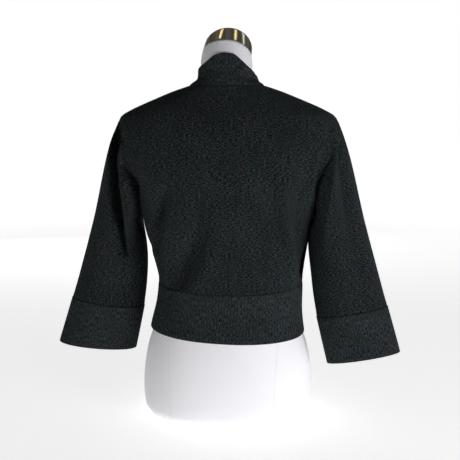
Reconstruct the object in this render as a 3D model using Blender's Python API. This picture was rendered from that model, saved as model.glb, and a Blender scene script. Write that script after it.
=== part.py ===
"""A cropped open cardigan in fine knit, resting on a limbless dress form.

Metres, +Z up. The front faces -Y and the wearer's left is +X. The origin is the centre of the
form's flat underside. Every cloth piece is a wall: an outer face, an inner face and its rims.
"""
import math
from collections import namedtuple

import bpy
import numpy as np

# Driving sizes of the cardigan, in metres
HEM_Z = 0.167
WAIST_Z = 0.259
UNDERARM_Z = 0.388
SHOULDER_TIP_Z = 0.5845
NECK_Z = 0.641
NECK_EDGE_Z = NECK_Z - 0.0006
KNIT_THICKNESS = 0.0020
BAND_THICKNESS = 0.0022
RIB_HEIGHT = 0.0007
RIB_PITCH = 0.0060
SEAM_GAP = 0.0003
CORNER_GAP = 0.0008
CORNER_REACH = 0.009
SEAM_ROLL = 0.0028
ROLL_FROM_TURN = math.radians(130.0)
ROLL_EASE_TURN = math.radians(72.0)
FRONT_GAP = 0.024
BAND_WIDTH = 0.060
BAND_FLAT_FROM = 0.20
BAND_FLAT_EASE = 0.07
ARMHOLE_BACK_DEPTH = 0.058
ARMHOLE_FRONT_DEPTH = 0.064
ARMHOLE_ROUND = 1.8
ARMHOLE_SKEW = 0.28

# How the cloth has settled: the waist hangs to the wearer's right, the waist seam and the hem
# rise towards the sides, the right cuff lies further back, and the neck stands to the left
CUFF_BACK_SHIFT = 0.022
CUFF_OUT_SHIFT = 0.004
WAIST_SHIFT = 0.006
WAIST_RISE = 0.006
HEM_RISE = 0.004
HEM_TILT = 0.004
NECK_SHIFT = 0.003
COLLAR_RIGHT_DROP = 0.004
COLLAR_HALF_WIDTH = 0.050
SETTLE_TOP_Z = 0.385
SETTLE_HALF_WIDTH = 0.150

# Driving sizes of the dress form
FORM_CLEARANCE = 0.0017
NECK_LEAN = math.radians(30.0)
CAP_TILT = math.radians(7.0)
CAP_RADIUS = 0.0464
CAP_HEIGHT = 0.0220
CAP_FRONT_SHARE = 0.36
CAP_SIDE_RISE = 0.0050

# Mesh resolution
BACK_COLUMNS = 20
FRONT_COLUMNS = 9
ARMHOLE_STEPS = 13
SIDE_ROWS = 6
SHOULDER_ROWS = 7
FORM_COLUMNS = 36
CAP_COLUMNS = 32
NECK_SEAM_POINTS = 40
SHOULDER_SEAM_POINTS = 8
FRONT_SEAM_POINTS = 260
NORMAL_STEP = 1.0e-4
MIRRORED = np.array([-1.0, 1.0, 1.0])

# Level cuts through the cardigan's middle surface. half_width reaches to the side seam, or above
# the underarm to where the body would end without its armhole. back and front are the depths at
# the centre, side is the y of the side and shoulder seams, and the last two shape the corners.
Section = namedtuple("Section", "z half_width back front side back_round front_round")
BODY_SECTIONS = (
    Section(0.167, 0.1505, 0.1120, 0.1060, 0.000, 2.30, 2.30),
    Section(0.200, 0.1445, 0.1095, 0.1045, 0.000, 2.30, 2.30),
    Section(0.230, 0.1405, 0.1080, 0.1035, 0.000, 2.30, 2.30),
    Section(0.259, 0.1395, 0.1080, 0.1035, 0.000, 2.30, 2.30),
    Section(0.290, 0.1440, 0.1085, 0.1085, 0.000, 2.30, 2.25),
    Section(0.336, 0.1530, 0.1105, 0.1200, 0.001, 2.30, 2.20),
    Section(0.388, 0.1630, 0.1140, 0.1330, 0.002, 2.30, 2.15),
    Section(0.405, 0.1680, 0.1150, 0.1365, 0.002, 2.30, 2.15),
    Section(0.430, 0.1780, 0.1160, 0.1390, 0.003, 2.30, 2.15),
    Section(0.460, 0.1930, 0.1160, 0.1370, 0.004, 2.28, 2.10),
    Section(0.490, 0.2090, 0.1140, 0.1290, 0.005, 2.25, 2.10),
    Section(0.520, 0.2170, 0.1095, 0.1160, 0.007, 2.20, 2.05),
    Section(0.550, 0.2160, 0.1030, 0.0990, 0.009, 2.15, 2.00),
    Section(0.572, 0.2095, 0.0955, 0.0865, 0.010, 2.12, 1.95),
    Section(0.5845, 0.2020, 0.0905, 0.0800, 0.011, 2.10, 1.90),
    Section(0.595, 0.1845, 0.0860, 0.0740, 0.012, 2.05, 1.85),
    Section(0.606, 0.1605, 0.0810, 0.0675, 0.012, 2.00, 1.80),
    Section(0.6175, 0.1330, 0.0755, 0.0605, 0.012, 2.00, 1.75),
    Section(0.629, 0.1045, 0.0700, 0.0530, 0.012, 2.00, 1.70),
    Section(0.641, 0.0690, 0.0645, 0.0460, 0.010, 2.00, 1.70),
)

# Where the front panels end at the band's seam
NeckEdge = namedtuple("NeckEdge", "z x")
FRONT_EDGE = (
    NeckEdge(0.167, 0.0720),
    NeckEdge(0.480, 0.0720),
    NeckEdge(0.560, 0.0745),
    NeckEdge(0.605, 0.0735),
    NeckEdge(0.630, 0.0715),
    NeckEdge(0.641, 0.0703),
)

# The band's free edge beside the neck, by the distance from the centre back along its seam
FreeEdge = namedtuple("FreeEdge", "along x y z")
COLLAR_EDGE = (
    FreeEdge(0.000, 0.0000, 0.0440, 0.6980),
    FreeEdge(0.045, 0.0310, 0.0370, 0.6905),
    FreeEdge(0.070, 0.0505, 0.0080, 0.6810),
    FreeEdge(0.100, 0.0535, -0.0330, 0.6700),
    FreeEdge(0.140, 0.0520, -0.0740, 0.6480),
    FreeEdge(0.180, 0.0440, -0.1000, 0.6160),
    FreeEdge(0.215, 0.0330, -0.1130, 0.5820),
    FreeEdge(0.260, 0.0180, -0.1235, 0.5370),
    FreeEdge(0.310, 0.0120, -0.1310, 0.4915),
)

# Rings of the left sleeve, from just past the armhole to the cuff's seam, then of the cuff. The
# outer and inner points lie on the sleeve's two edges, back and front are its half depths, and
# follow is how much of the armhole's own shape the ring still keeps.
Ring = namedtuple("Ring", "outer_x outer_z inner_x inner_z back front middle follow")
SLEEVE_RINGS = (
    Ring(0.2020, 0.5845, 0.1630, 0.3880, 0.058, 0.066, 0.006, 1.00),
    Ring(0.2085, 0.5755, 0.1688, 0.3916, 0.060, 0.067, 0.006, 0.90),
    Ring(0.2150, 0.5610, 0.1714, 0.3892, 0.061, 0.067, 0.006, 0.70),
    Ring(0.2245, 0.5360, 0.1718, 0.3820, 0.062, 0.066, 0.006, 0.50),
    Ring(0.2352, 0.5020, 0.1692, 0.3675, 0.061, 0.064, 0.005, 0.32),
    Ring(0.2450, 0.4650, 0.1660, 0.3500, 0.059, 0.061, 0.005, 0.16),
    Ring(0.2545, 0.4270, 0.1640, 0.3300, 0.057, 0.058, 0.004, 0.06),
    Ring(0.2650, 0.3870, 0.1632, 0.3080, 0.054, 0.055, 0.003, 0.00),
    Ring(0.2765, 0.3480, 0.1640, 0.2850, 0.051, 0.052, 0.002, 0.00),
    Ring(0.2890, 0.3070, 0.1662, 0.2600, 0.048, 0.048, 0.001, 0.00),
    Ring(0.3015, 0.2660, 0.1697, 0.2335, 0.045, 0.045, 0.000, 0.00),
    Ring(0.3145, 0.2250, 0.1742, 0.2055, 0.043, 0.042, 0.000, 0.00),
)
CUFF_RINGS = (
    Ring(0.3150, 0.2250, 0.1737, 0.2055, 0.044, 0.043, 0.000, 0.00),
    Ring(0.3300, 0.1790, 0.1835, 0.1610, 0.042, 0.041, 0.000, 0.00),
    Ring(0.3450, 0.1325, 0.1940, 0.1150, 0.040, 0.039, 0.000, 0.00),
)

# The form's own level cuts, below the shoulders that it shares with the cardigan
FormSection = namedtuple("FormSection", "z half_width back front side round")
FORM_SECTIONS = (
    FormSection(0.000, 0.1560, 0.1000, 0.0970, 0.000, 2.25),
    FormSection(0.012, 0.1635, 0.1075, 0.1040, 0.000, 2.25),
    FormSection(0.032, 0.1670, 0.1115, 0.1070, 0.000, 2.25),
    FormSection(0.062, 0.1678, 0.1130, 0.1080, 0.000, 2.25),
    FormSection(0.100, 0.1645, 0.1120, 0.1060, 0.000, 2.25),
    FormSection(0.140, 0.1570, 0.1075, 0.1010, 0.000, 2.20),
    FormSection(0.167, 0.1480, 0.1025, 0.0970, 0.000, 2.20),
    FormSection(0.200, 0.1380, 0.0950, 0.0930, 0.000, 2.15),
    FormSection(0.235, 0.1280, 0.0870, 0.0900, 0.000, 2.10),
    FormSection(0.275, 0.1240, 0.0810, 0.0890, 0.000, 2.10),
    FormSection(0.320, 0.1285, 0.0810, 0.0930, 0.000, 2.10),
    FormSection(0.365, 0.1370, 0.0850, 0.1080, 0.001, 2.10),
    FormSection(0.405, 0.1430, 0.0910, 0.1240, 0.002, 2.10),
    FormSection(0.440, 0.1510, 0.0970, 0.1290, 0.003, 2.10),
    FormSection(0.475, 0.1660, 0.1010, 0.1220, 0.004, 2.15),
    FormSection(0.505, 0.1785, 0.1010, 0.1090, 0.006, 2.20),
    FormSection(0.535, 0.1880, 0.0980, 0.0930, 0.008, 2.20),
    FormSection(0.560, 0.1900, 0.0930, 0.0800, 0.010, 2.15),
    FormSection(0.580, 0.1840, 0.0870, 0.0720, 0.011, 2.10),
    FormSection(0.592, 0.1740, 0.0830, 0.0680, 0.011, 2.05),
    FormSection(0.602, 0.1580, 0.0790, 0.0640, 0.012, 2.00),
)
FORM_SHARED_FROM_Z = 0.6045
FORM_SHARED_TO_Z = 0.628

# Rings of the form's neck, each tilted further forward
NeckRing = namedtuple("NeckRing", "z half_width back front middle lean")
NECK_RINGS = (
    NeckRing(0.6380, 0.0640, 0.0540, 0.0400, 0.0050, 0.03),
    NeckRing(0.6480, 0.0550, 0.0500, 0.0450, 0.0020, 0.15),
    NeckRing(0.6580, 0.0508, 0.0485, 0.0460, -0.0010, 0.35),
    NeckRing(0.6720, 0.0493, 0.0480, 0.0470, -0.0060, 0.60),
    NeckRing(0.6880, 0.0491, 0.0480, 0.0475, -0.0115, 0.85),
    NeckRing(0.7045, 0.0474, 0.0472, 0.0472, -0.0170, 1.00),
)

# The cap's outline from its lower edge to its middle, as shares of its radius and height
CapPoint = namedtuple("CapPoint", "radius height")
CAP_OUTLINE = (
    CapPoint(0.975, 0.000),
    CapPoint(1.000, 0.050),
    CapPoint(1.000, 0.550),
    CapPoint(0.995, 0.860),
    CapPoint(0.970, 0.950),
    CapPoint(0.920, 0.985),
    CapPoint(0.700, 1.020),
    CapPoint(0.350, 1.040),
)

# Soft folds in the cloth. Each runs along a line between two places and fades at both ends:
# across and z for a body panel (across is x), turn in degrees and share of the length for a
# sleeve. A positive depth is a trough, a negative one a ridge.
Fold = namedtuple("Fold", "across_a up_a across_b up_b width depth")
BACK_FOLDS = (
    Fold(0.118, 0.415, 0.136, 0.300, 0.016, 0.0050),
    Fold(0.132, 0.330, 0.122, 0.262, 0.012, -0.0030),
    Fold(0.062, 0.400, 0.104, 0.262, 0.026, 0.0045),
    Fold(-0.122, 0.420, -0.138, 0.300, 0.015, 0.0040),
    Fold(-0.100, 0.400, -0.112, 0.270, 0.016, -0.0025),
    Fold(0.172, 0.470, 0.150, 0.400, 0.012, 0.0040),
    Fold(-0.170, 0.475, -0.150, 0.405, 0.012, 0.0045),
)
FRONT_FOLDS = (
    Fold(0.150, 0.470, 0.128, 0.400, 0.014, 0.0045),
    Fold(0.125, 0.400, 0.132, 0.285, 0.016, 0.0040),
    Fold(0.100, 0.340, 0.104, 0.262, 0.018, -0.0025),
)
SLEEVE_FOLDS = {
    "left": (
        Fold(30.0, 0.10, 113.0, 0.72, 14.0, 0.0120),
        Fold(104.0, 0.18, 146.0, 0.50, 13.0, -0.0045),
        Fold(150.0, 0.30, 142.0, 0.80, 18.0, 0.0045),
        Fold(316.0, 0.12, 250.0, 0.60, 16.0, 0.0075),
        Fold(285.0, 0.45, 300.0, 0.90, 16.0, 0.0035),
        Fold(92.0, 0.62, 84.0, 0.98, 18.0, 0.0025),
    ),
    "right": (
        Fold(44.0, 0.12, 74.0, 0.60, 17.0, 0.0070),
        Fold(92.0, 0.12, 128.0, 0.46, 13.0, -0.0040),
        Fold(132.0, 0.28, 140.0, 0.85, 18.0, 0.0045),
        Fold(310.0, 0.14, 262.0, 0.58, 16.0, 0.0070),
        Fold(70.0, 0.60, 52.0, 0.98, 16.0, 0.0035),
        Fold(290.0, 0.50, 304.0, 0.92, 16.0, 0.0030),
    ),
}

COLOURS = {
    "form_torso": ((0.80, 0.80, 0.82), 0.75, 0.0),
    "form_neck_cap": ((0.36, 0.33, 0.28), 0.25, 1.0),
    "knit": ((0.016, 0.021, 0.022), 0.90, 0.0),
    "rib": ((0.019, 0.025, 0.027), 0.90, 0.0),
}


def column(table, name):
    """Return one named column of a table as an array."""
    return np.array([getattr(row, name) for row in table])


def smooth_value(xs, ys, x):
    """Pass a smooth curve through (xs, ys) that never overshoots, and read it at x."""
    x = np.clip(x, xs[0], xs[-1])
    steps = np.diff(xs)
    rises = np.diff(ys) / steps
    slopes = np.zeros(len(xs))
    slopes[0] = rises[0]
    slopes[-1] = rises[-1]
    for i in range(1, len(xs) - 1):
        if rises[i - 1] * rises[i] > 0:
            before = 2 * steps[i] + steps[i - 1]
            after = steps[i] + 2 * steps[i - 1]
            slopes[i] = (before + after) / (before / rises[i - 1] + after / rises[i])
    i = np.clip(np.searchsorted(xs, x) - 1, 0, len(xs) - 2)
    t = (x - xs[i]) / steps[i]
    return (
        ys[i] * (1 + 2 * t) * (1 - t) ** 2
        + slopes[i] * steps[i] * t * (1 - t) ** 2
        + ys[i + 1] * t * t * (3 - 2 * t)
        + slopes[i + 1] * steps[i] * t * t * (t - 1)
    )


def read_table(table, key, name, x):
    """Read one column of a table smoothly at the key's value x."""
    return float(smooth_value(column(table, key), column(table, name), x))


def body_section(z):
    """Return the cardigan's level cut at height z."""
    values = [read_table(BODY_SECTIONS, "z", name, z) for name in Section._fields[1:]]
    return Section(z, *values)


def eased(share):
    """Return a share from 0 to 1 with soft ends, held there outside them."""
    share = np.clip(share, 0.0, 1.0)
    return share * share * (3.0 - 2.0 * share)


def fade(distance, width):
    """Return 1 on a line and almost 0 beyond twice the width."""
    return math.exp(-((distance / width) ** 2))


def fold_depth(folds, across, up, up_scale=1.0):
    """Add up the folds at one place, each fading at its ends and to its sides."""
    total = 0.0
    for fold in folds:
        run_across = fold.across_b - fold.across_a
        run_up = (fold.up_b - fold.up_a) * up_scale
        length_sq = run_across**2 + run_up**2
        offset_across = across - fold.across_a
        offset_up = (up - fold.up_a) * up_scale
        share = (offset_across * run_across + offset_up * run_up) / length_sq
        held = min(max(share, 0.0), 1.0)
        distance = math.hypot(offset_across - held * run_across, offset_up - held * run_up)
        strength = math.sin(math.pi * (0.12 + 0.76 * held)) ** 0.8
        total += fold.depth * strength * fade(distance, fold.width)
    return total


def armhole_depth(z, depth):
    """Return how far the armhole's edge lies from the side seam's line at height z."""
    middle = 0.5 * (UNDERARM_Z + SHOULDER_TIP_Z)
    share = (z - middle) / (0.5 * (SHOULDER_TIP_Z - UNDERARM_Z))
    if abs(share) >= 1.0:
        return 0.0
    oval = (1.0 - abs(share) ** ARMHOLE_ROUND) ** (1.0 / ARMHOLE_ROUND)
    return depth * oval * (1.0 - ARMHOLE_SKEW * share)


def torso_point(angle, z, is_back):
    """Return the middle surface's point: angle 0 is the centre line and 90 degrees the side."""
    cut = body_section(z)
    power = 2.0 / (cut.back_round if is_back else cut.front_round)
    x = cut.half_width * math.copysign(abs(math.sin(angle)) ** power, math.sin(angle))
    reach = math.copysign(abs(math.cos(angle)) ** power, math.cos(angle))
    if is_back:
        y = cut.side + (cut.back - cut.side) * reach
    else:
        y = cut.side - (cut.front + cut.side) * reach
    return np.array([x, y, z])


def settled(points):
    """Move points as the cloth has settled, in step for every piece that meets at a seam."""
    x, y, z = points[..., 0], points[..., 1], points[..., 2]
    low = eased((SETTLE_TOP_Z - z) / (SETTLE_TOP_Z - WAIST_Z))
    below_waist = eased((WAIST_Z - z) / (WAIST_Z - HEM_Z))
    behind = eased((y + 0.08) / 0.06)
    neck = eased((z - NECK_Z) / 0.03)
    right = eased(-x / COLLAR_HALF_WIDTH) * neck
    side = x / SETTLE_HALF_WIDTH
    rise = WAIST_RISE + (HEM_RISE - WAIST_RISE) * below_waist
    moved = points.copy()
    moved[..., 0] += NECK_SHIFT * neck - WAIST_SHIFT * low * (1.0 - below_waist) * behind
    moved[..., 2] += low * (rise * side**2 + HEM_TILT * side * below_waist)
    moved[..., 2] -= COLLAR_RIGHT_DROP * right
    return moved


def torso_normal(angle, z, is_back):
    """Return the middle surface's outward unit normal."""
    low = max(z - NORMAL_STEP, HEM_Z)
    high = min(z + NORMAL_STEP, NECK_Z)
    step = NORMAL_STEP / 0.1
    along_row = torso_point(angle + step, z, is_back) - torso_point(angle - step, z, is_back)
    upward = torso_point(angle, high, is_back) - torso_point(angle, low, is_back)
    normal = np.cross(upward, along_row) if is_back else np.cross(along_row, upward)
    return normal / np.linalg.norm(normal)


def edge_angle(z, is_back):
    """Return the angle at which a panel's row ends: side seam, armhole or shoulder seam."""
    cut = body_section(z)
    depth = ARMHOLE_BACK_DEPTH if is_back else ARMHOLE_FRONT_DEPTH
    reach = max(armhole_depth(z, depth), 0.5 * SEAM_GAP)
    half_depth = cut.back - cut.side if is_back else cut.front + cut.side
    roundness = cut.back_round if is_back else cut.front_round
    return math.acos(min(reach / half_depth, 1.0) ** (roundness / 2.0))


def inner_angle(z):
    """Return the angle at which a front panel's row starts, at the band's seam."""
    cut = body_section(z)
    edge_x = read_table(FRONT_EDGE, "z", "x", z) + 0.5 * SEAM_GAP
    share = min(edge_x / cut.half_width, 0.995)
    return math.asin(share ** (cut.front_round / 2.0))


def free_angle(z):
    """Return the angle of the band's free edge down the front."""
    cut = body_section(z)
    return math.asin((0.5 * FRONT_GAP / cut.half_width) ** (cut.front_round / 2.0))


def back_point(across, z):
    """Return the back panel's point and normal: across is -1 at its right edge, 1 at its left."""
    angle = across * edge_angle(z, True)
    point = torso_point(angle, z, True)
    normal = torso_normal(angle, z, True)
    depth = fold_depth(BACK_FOLDS, point[0], z) * seam_hold(z)
    return point - normal * depth, normal


def front_point(across, z):
    """Return the left front's point and normal: across is 0 at the band's seam, 1 at the side."""
    start = inner_angle(z)
    angle = start + across * (edge_angle(z, False) - start)
    point = torso_point(angle, z, False)
    normal = torso_normal(angle, z, False)
    depth = fold_depth(FRONT_FOLDS, point[0], z) * seam_hold(z)
    return point - normal * depth, normal


def seam_hold(z):
    """Fade the body's folds out towards the waist seam, which lies flat."""
    return min(max((z - WAIST_Z) / 0.02, 0.0), 1.0) ** 0.5


def body_rows():
    """Return the heights of the body panels' rows, with one at each armhole step."""
    side = np.linspace(WAIST_Z + 0.5 * SEAM_GAP, UNDERARM_Z, SIDE_ROWS + 1)[:-1]
    middle = 0.5 * (UNDERARM_Z + SHOULDER_TIP_Z)
    turns = np.linspace(0.0, math.pi, ARMHOLE_STEPS + 1)
    armhole = middle - 0.5 * (SHOULDER_TIP_Z - UNDERARM_Z) * np.cos(turns)
    rise = np.linspace(0.0, 1.0, SHOULDER_ROWS + 1)[1:]
    shoulder = SHOULDER_TIP_Z + (NECK_EDGE_Z - SHOULDER_TIP_Z) * rise * (1.35 - 0.35 * rise)
    return np.concatenate([side, armhole, shoulder])


def add_object(name, points, faces, colour):
    """Make one named mesh object from points and faces, smooth apart from its sharp rims."""
    mesh = bpy.data.meshes.new(name)
    mesh.from_pydata([tuple(map(float, p)) for p in points], [], faces)
    mesh.update()
    mesh.validate()
    mesh.shade_smooth()
    mesh.set_sharp_from_angle(angle=math.radians(50.0))
    base, roughness, metallic = COLOURS[colour]
    material = bpy.data.materials.new(name + "_finish")
    material.use_nodes = True
    shader = material.node_tree.nodes["Principled BSDF"]
    shader.inputs["Base Color"].default_value = (*base, 1.0)
    shader.inputs["Roughness"].default_value = roughness
    shader.inputs["Metallic"].default_value = metallic
    mesh.materials.append(material)
    obj = bpy.data.objects.new(name, mesh)
    bpy.context.scene.collection.objects.link(obj)
    return obj


def rim_faces(outer, inner, every):
    """Join an outer row of points to an inner row that has one point for each `every`."""
    faces = []
    for k in range(len(inner) - 1):
        start = k * every
        for step in range(every):
            a, b = outer[start + step], outer[start + step + 1]
            faces.append((a, b, inner[k] if step < every / 2 else inner[k + 1]))
            if step == (every - 1) // 2:
                faces.append((b, inner[k + 1], inner[k]))
    return faces


def wall_mesh(outer, inner, every=1, closed=False):
    """Close two grids of points into one wall. The inner grid has a column for each `every`."""
    rows, columns = outer.shape[:2]
    inner_columns = inner.shape[1]
    points = np.concatenate([outer.reshape(-1, 3), inner.reshape(-1, 3)])
    outer_ids = np.arange(rows * columns).reshape(rows, columns)
    inner_ids = rows * columns + np.arange(rows * inner_columns).reshape(rows, inner_columns)
    if closed:
        outer_ids = np.concatenate([outer_ids, outer_ids[:, :1]], axis=1)
        inner_ids = np.concatenate([inner_ids, inner_ids[:, :1]], axis=1)
    faces = []
    for ids, flip in ((outer_ids, False), (inner_ids, True)):
        for r in range(rows - 1):
            for c in range(ids.shape[1] - 1):
                quad = [ids[r, c], ids[r, c + 1], ids[r + 1, c + 1], ids[r + 1, c]]
                faces.append(tuple(int(i) for i in (quad[::-1] if flip else quad)))
    low = rim_faces(outer_ids[0], inner_ids[0], every)
    high = rim_faces(outer_ids[-1], inner_ids[-1], every)
    faces += [tuple(int(i) for i in face[::-1]) for face in low]
    faces += [tuple(int(i) for i in face) for face in high]
    if not closed:
        for r in range(rows - 1):
            first = (outer_ids[r, 0], outer_ids[r + 1, 0], inner_ids[r + 1, 0], inner_ids[r, 0])
            last = (outer_ids[r, -1], inner_ids[r, -1], inner_ids[r + 1, -1], outer_ids[r + 1, -1])
            faces.append(tuple(int(i) for i in first))
            faces.append(tuple(int(i) for i in last))
    return points, faces


def plain_wall(name, middles, normals, thickness, mirrored=False):
    """Make a wall of one thickness about a grid of middle points."""
    outer = middles + normals * 0.5 * thickness
    inner = middles - normals * 0.5 * thickness
    if mirrored:
        outer, inner = mirror(outer), mirror(inner)
    points, faces = wall_mesh(outer, inner)
    return add_object(name, settled(points), faces, "knit")


def mirror(grid):
    """Mirror a grid of points in x, and turn its columns round so that it still faces out."""
    flipped = grid[:, ::-1].copy()
    flipped[..., 0] *= -1.0
    return flipped


def grid_of(point_at, columns, rows):
    """Read a panel function into grids of points and normals."""
    pairs = [[point_at(u, v) for u in columns] for v in rows]
    points = np.array([[pair[0] for pair in row] for row in pairs])
    normals = np.array([[pair[1] for pair in row] for row in pairs])
    return points, normals


def make_back():
    """Make the back panel."""
    columns = np.linspace(1.0, -1.0, BACK_COLUMNS + 1)
    points, normals = grid_of(back_point, columns, body_rows())
    plain_wall("back", points, normals, KNIT_THICKNESS)


def make_fronts():
    """Make the two front panels."""
    columns = np.linspace(0.0, 1.0, FRONT_COLUMNS + 1)
    points, normals = grid_of(front_point, columns, body_rows())
    plain_wall("front_left", points, normals, KNIT_THICKNESS)
    plain_wall("front_right", points, normals, KNIT_THICKNESS, mirrored=True)


def armhole_ring():
    """Return the armhole's points, normals and outward directions, clockwise from the tip."""
    middle = 0.5 * (UNDERARM_Z + SHOULDER_TIP_Z)
    half = 0.5 * (SHOULDER_TIP_Z - UNDERARM_Z)
    points, normals, outward = [], [], []
    for k in range(2 * ARMHOLE_STEPS):
        turn = math.pi * k / ARMHOLE_STEPS
        z = middle + half * math.cos(turn)
        is_back = k <= ARMHOLE_STEPS
        if is_back:
            point, normal = back_point(1.0, z)
            inside, _ = back_point(0.98, z)
        else:
            point, normal = front_point(1.0, z)
            inside, _ = front_point(0.98, z)
        if k in (0, ARMHOLE_STEPS):
            other, other_normal = front_point(1.0, z)
            point = 0.5 * (point + other)
            normal = 0.5 * (normal + other_normal)
            inside = point - np.array([0.0, 0.0, 1.0 if k else -1.0]) * 0.01
        points.append(point)
        normals.append(normal / np.linalg.norm(normal))
        outward.append(point - inside)
    return np.array(points), np.array(normals), np.array(outward)


def conormals(points, normals, outward):
    """Return the unit directions that lead across a seam, square to it and to the normal."""
    along = np.roll(points, -1, axis=0) - np.roll(points, 1, axis=0)
    across = np.cross(along, normals)
    across /= np.linalg.norm(across, axis=1, keepdims=True)
    signs = np.sign(np.sum(across * outward, axis=1, keepdims=True))
    return across * np.where(signs == 0, 1.0, signs)


def ring_points(ring, side, length_share, count):
    """Return one sleeve ring as an oval between its outer and inner edge points."""
    swing = -1.0 if side == "left" else 1.0
    back_shift = swing * CUFF_BACK_SHIFT * length_share
    out_shift = -swing * CUFF_OUT_SHIFT * length_share
    outer = np.array([ring.outer_x + out_shift, 0.0, ring.outer_z])
    inner = np.array([ring.inner_x + 0.3 * out_shift, 0.0, ring.inner_z])
    points = []
    for k in range(count):
        turn = 2 * math.pi * k / count
        depth = ring.back if math.sin(turn) > 0 else ring.front
        point = 0.5 * (outer + inner) + 0.5 * (outer - inner) * math.cos(turn)
        point[1] += ring.middle + back_shift + depth * math.sin(turn)
        points.append(point)
    return np.array(points)


def sleeve_share(k):
    """Return how far down the arm, cuff included, ring k of the sleeve lies."""
    drops = column(SLEEVE_RINGS, "outer_z")
    bottom = CUFF_RINGS[-1].outer_z
    return (drops[0] - drops[k]) / (drops[0] - bottom)


def cuff_share(k):
    """Return how far down the arm ring k of the cuff lies."""
    top = SLEEVE_RINGS[0].outer_z
    bottom = CUFF_RINGS[-1].outer_z
    return (top - CUFF_RINGS[k].outer_z) / (top - bottom)


def grid_normals(grid):
    """Return outward normals of a closed grid of rings from its own points."""
    around = np.roll(grid, -1, axis=1) - np.roll(grid, 1, axis=1)
    along = np.gradient(grid, axis=0)
    normals = np.cross(along, around)
    return normals / np.linalg.norm(normals, axis=2, keepdims=True)


def sleeve_grid(side):
    """Return the left-hand form of a sleeve: rings of middle points and their normals."""
    count = 2 * ARMHOLE_STEPS
    seam, seam_normals, outward = armhole_ring()
    leaving = conormals(seam, seam_normals, outward)
    seam = seam + leaving * SEAM_GAP
    plain_first = ring_points(SLEEVE_RINGS[0], side, 0.0, count)
    turns = np.abs(np.linspace(0.0, 2 * math.pi, count, endpoint=False) - math.pi)
    folding = np.clip((ROLL_FROM_TURN - turns) / ROLL_EASE_TURN, 0.0, 1.0)[:, None]
    rolled = leaving + seam_normals * folding
    rolled /= np.linalg.norm(rolled, axis=1, keepdims=True)
    rings = [seam, seam + rolled * SEAM_ROLL]
    for k, ring in enumerate(SLEEVE_RINGS[1:], 1):
        plain = ring_points(ring, side, sleeve_share(k), count)
        rings.append(plain + ring.follow * (seam - plain_first))
    rings[-1] = rings[-1] + np.array([0.0, 0.0, 0.5 * SEAM_GAP])
    grid = np.array(rings)
    normals = grid_normals(grid)
    last = len(rings) - 1
    for k in range(1, last):
        ease = min((k - 1) / 3.0, (last - k) / 1.5, 1.0)
        for c in range(count):
            depth = sleeve_fold(side, 360.0 * c / count, k / last)
            grid[k, c] -= normals[k, c] * depth * ease
    normals = grid_normals(grid)
    normals[0] = seam_normals
    return grid, normals


def sleeve_fold(side, turn, share):
    """Return a sleeve's fold depth at a turn in degrees, counted both ways round the tube."""
    folds = SLEEVE_FOLDS[side]
    return sum(fold_depth(folds, turn + lap, share, 160.0) for lap in (-360.0, 0.0, 360.0))


def make_sleeve(side):
    """Make one sleeve as a closed tube of two walls."""
    grid, normals = sleeve_grid(side)
    outer = grid + normals * 0.5 * KNIT_THICKNESS
    inner = grid - normals * 0.5 * KNIT_THICKNESS
    if side == "right":
        outer, inner = mirror(outer), mirror(inner)
    points, faces = wall_mesh(outer[::-1], inner[::-1], closed=True)
    add_object("sleeve_" + side, points, faces, "knit")


def ribbed(middles, normals, thickness, every, closed):
    """Return a band's ribbed outer grid and its plain, coarser inner grid."""
    columns = middles.shape[1]
    rise = np.where(np.arange(columns) % 2 == 0, 0.0, RIB_HEIGHT)
    outer = middles + normals * (0.5 * thickness + rise)[None, :, None]
    inner = (middles - normals * 0.5 * thickness)[:, ::every]
    if not closed and (columns - 1) % every:
        raise ValueError("the inner columns don't end at the band's edge")
    return outer, inner


def even_columns(grid, count, closed):
    """Space a grid's columns evenly along its rows, with the middle row as the measure."""
    if closed:
        grid = np.concatenate([grid, grid[:, :1]], axis=1)
    middle = grid[grid.shape[0] // 2]
    steps = np.linalg.norm(np.diff(middle, axis=0), axis=1)
    along = np.concatenate([[0.0], np.cumsum(steps)])
    wanted = np.linspace(0.0, along[-1], count + 1)
    if closed:
        wanted = wanted[:-1]
    rows = [[np.interp(wanted, along, row[:, axis]) for axis in range(3)] for row in grid]
    return np.array(rows).transpose(0, 2, 1)


def cuff_grid(side):
    """Return the cuff's rings in their left-hand form."""
    rings = [ring_points(ring, side, cuff_share(k), 180) for k, ring in enumerate(CUFF_RINGS)]
    rings[0] = rings[0] - np.array([0.0, 0.0, 0.5 * SEAM_GAP])
    return np.array(rings)


def make_cuff(side):
    """Make one ribbed cuff."""
    rings = cuff_grid(side)
    perimeter = np.sum(np.linalg.norm(np.diff(rings[1], axis=0), axis=1))
    ribs = 4 * round(perimeter / RIB_PITCH / 4)
    grid = even_columns(rings, 2 * ribs, True)
    normals = grid_normals(grid)
    outer, inner = ribbed(grid, normals, BAND_THICKNESS, 4, True)
    if side == "right":
        outer, inner = mirror(np.roll(outer, -1, axis=1)), mirror(np.roll(inner, -1, axis=1))
    points, faces = wall_mesh(outer[::-1], inner[::-1], every=4, closed=True)
    add_object("cuff_" + side, points, faces, "rib")


def hem_rows():
    """Return dense rows of the hem band from the left band's seam round the back."""
    rows = []
    for z in (HEM_Z, 0.5 * (HEM_Z + WAIST_Z), WAIST_Z - 0.5 * SEAM_GAP):
        start = inner_angle(z)
        front = [torso_point(a, z, False) for a in np.linspace(start, math.pi / 2, 60)]
        back = [torso_point(a, z, True) for a in np.linspace(math.pi / 2, -math.pi / 2, 180)]
        right = [point * MIRRORED for point in front[::-1]]
        rows.append(front + back[1:-1] + right)
    return np.array(rows)


def open_normals(grid):
    """Return outward normals of an open grid from its own points."""
    normals = np.cross(np.gradient(grid, axis=1), np.gradient(grid, axis=0))
    return normals / np.linalg.norm(normals, axis=2, keepdims=True)


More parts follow.
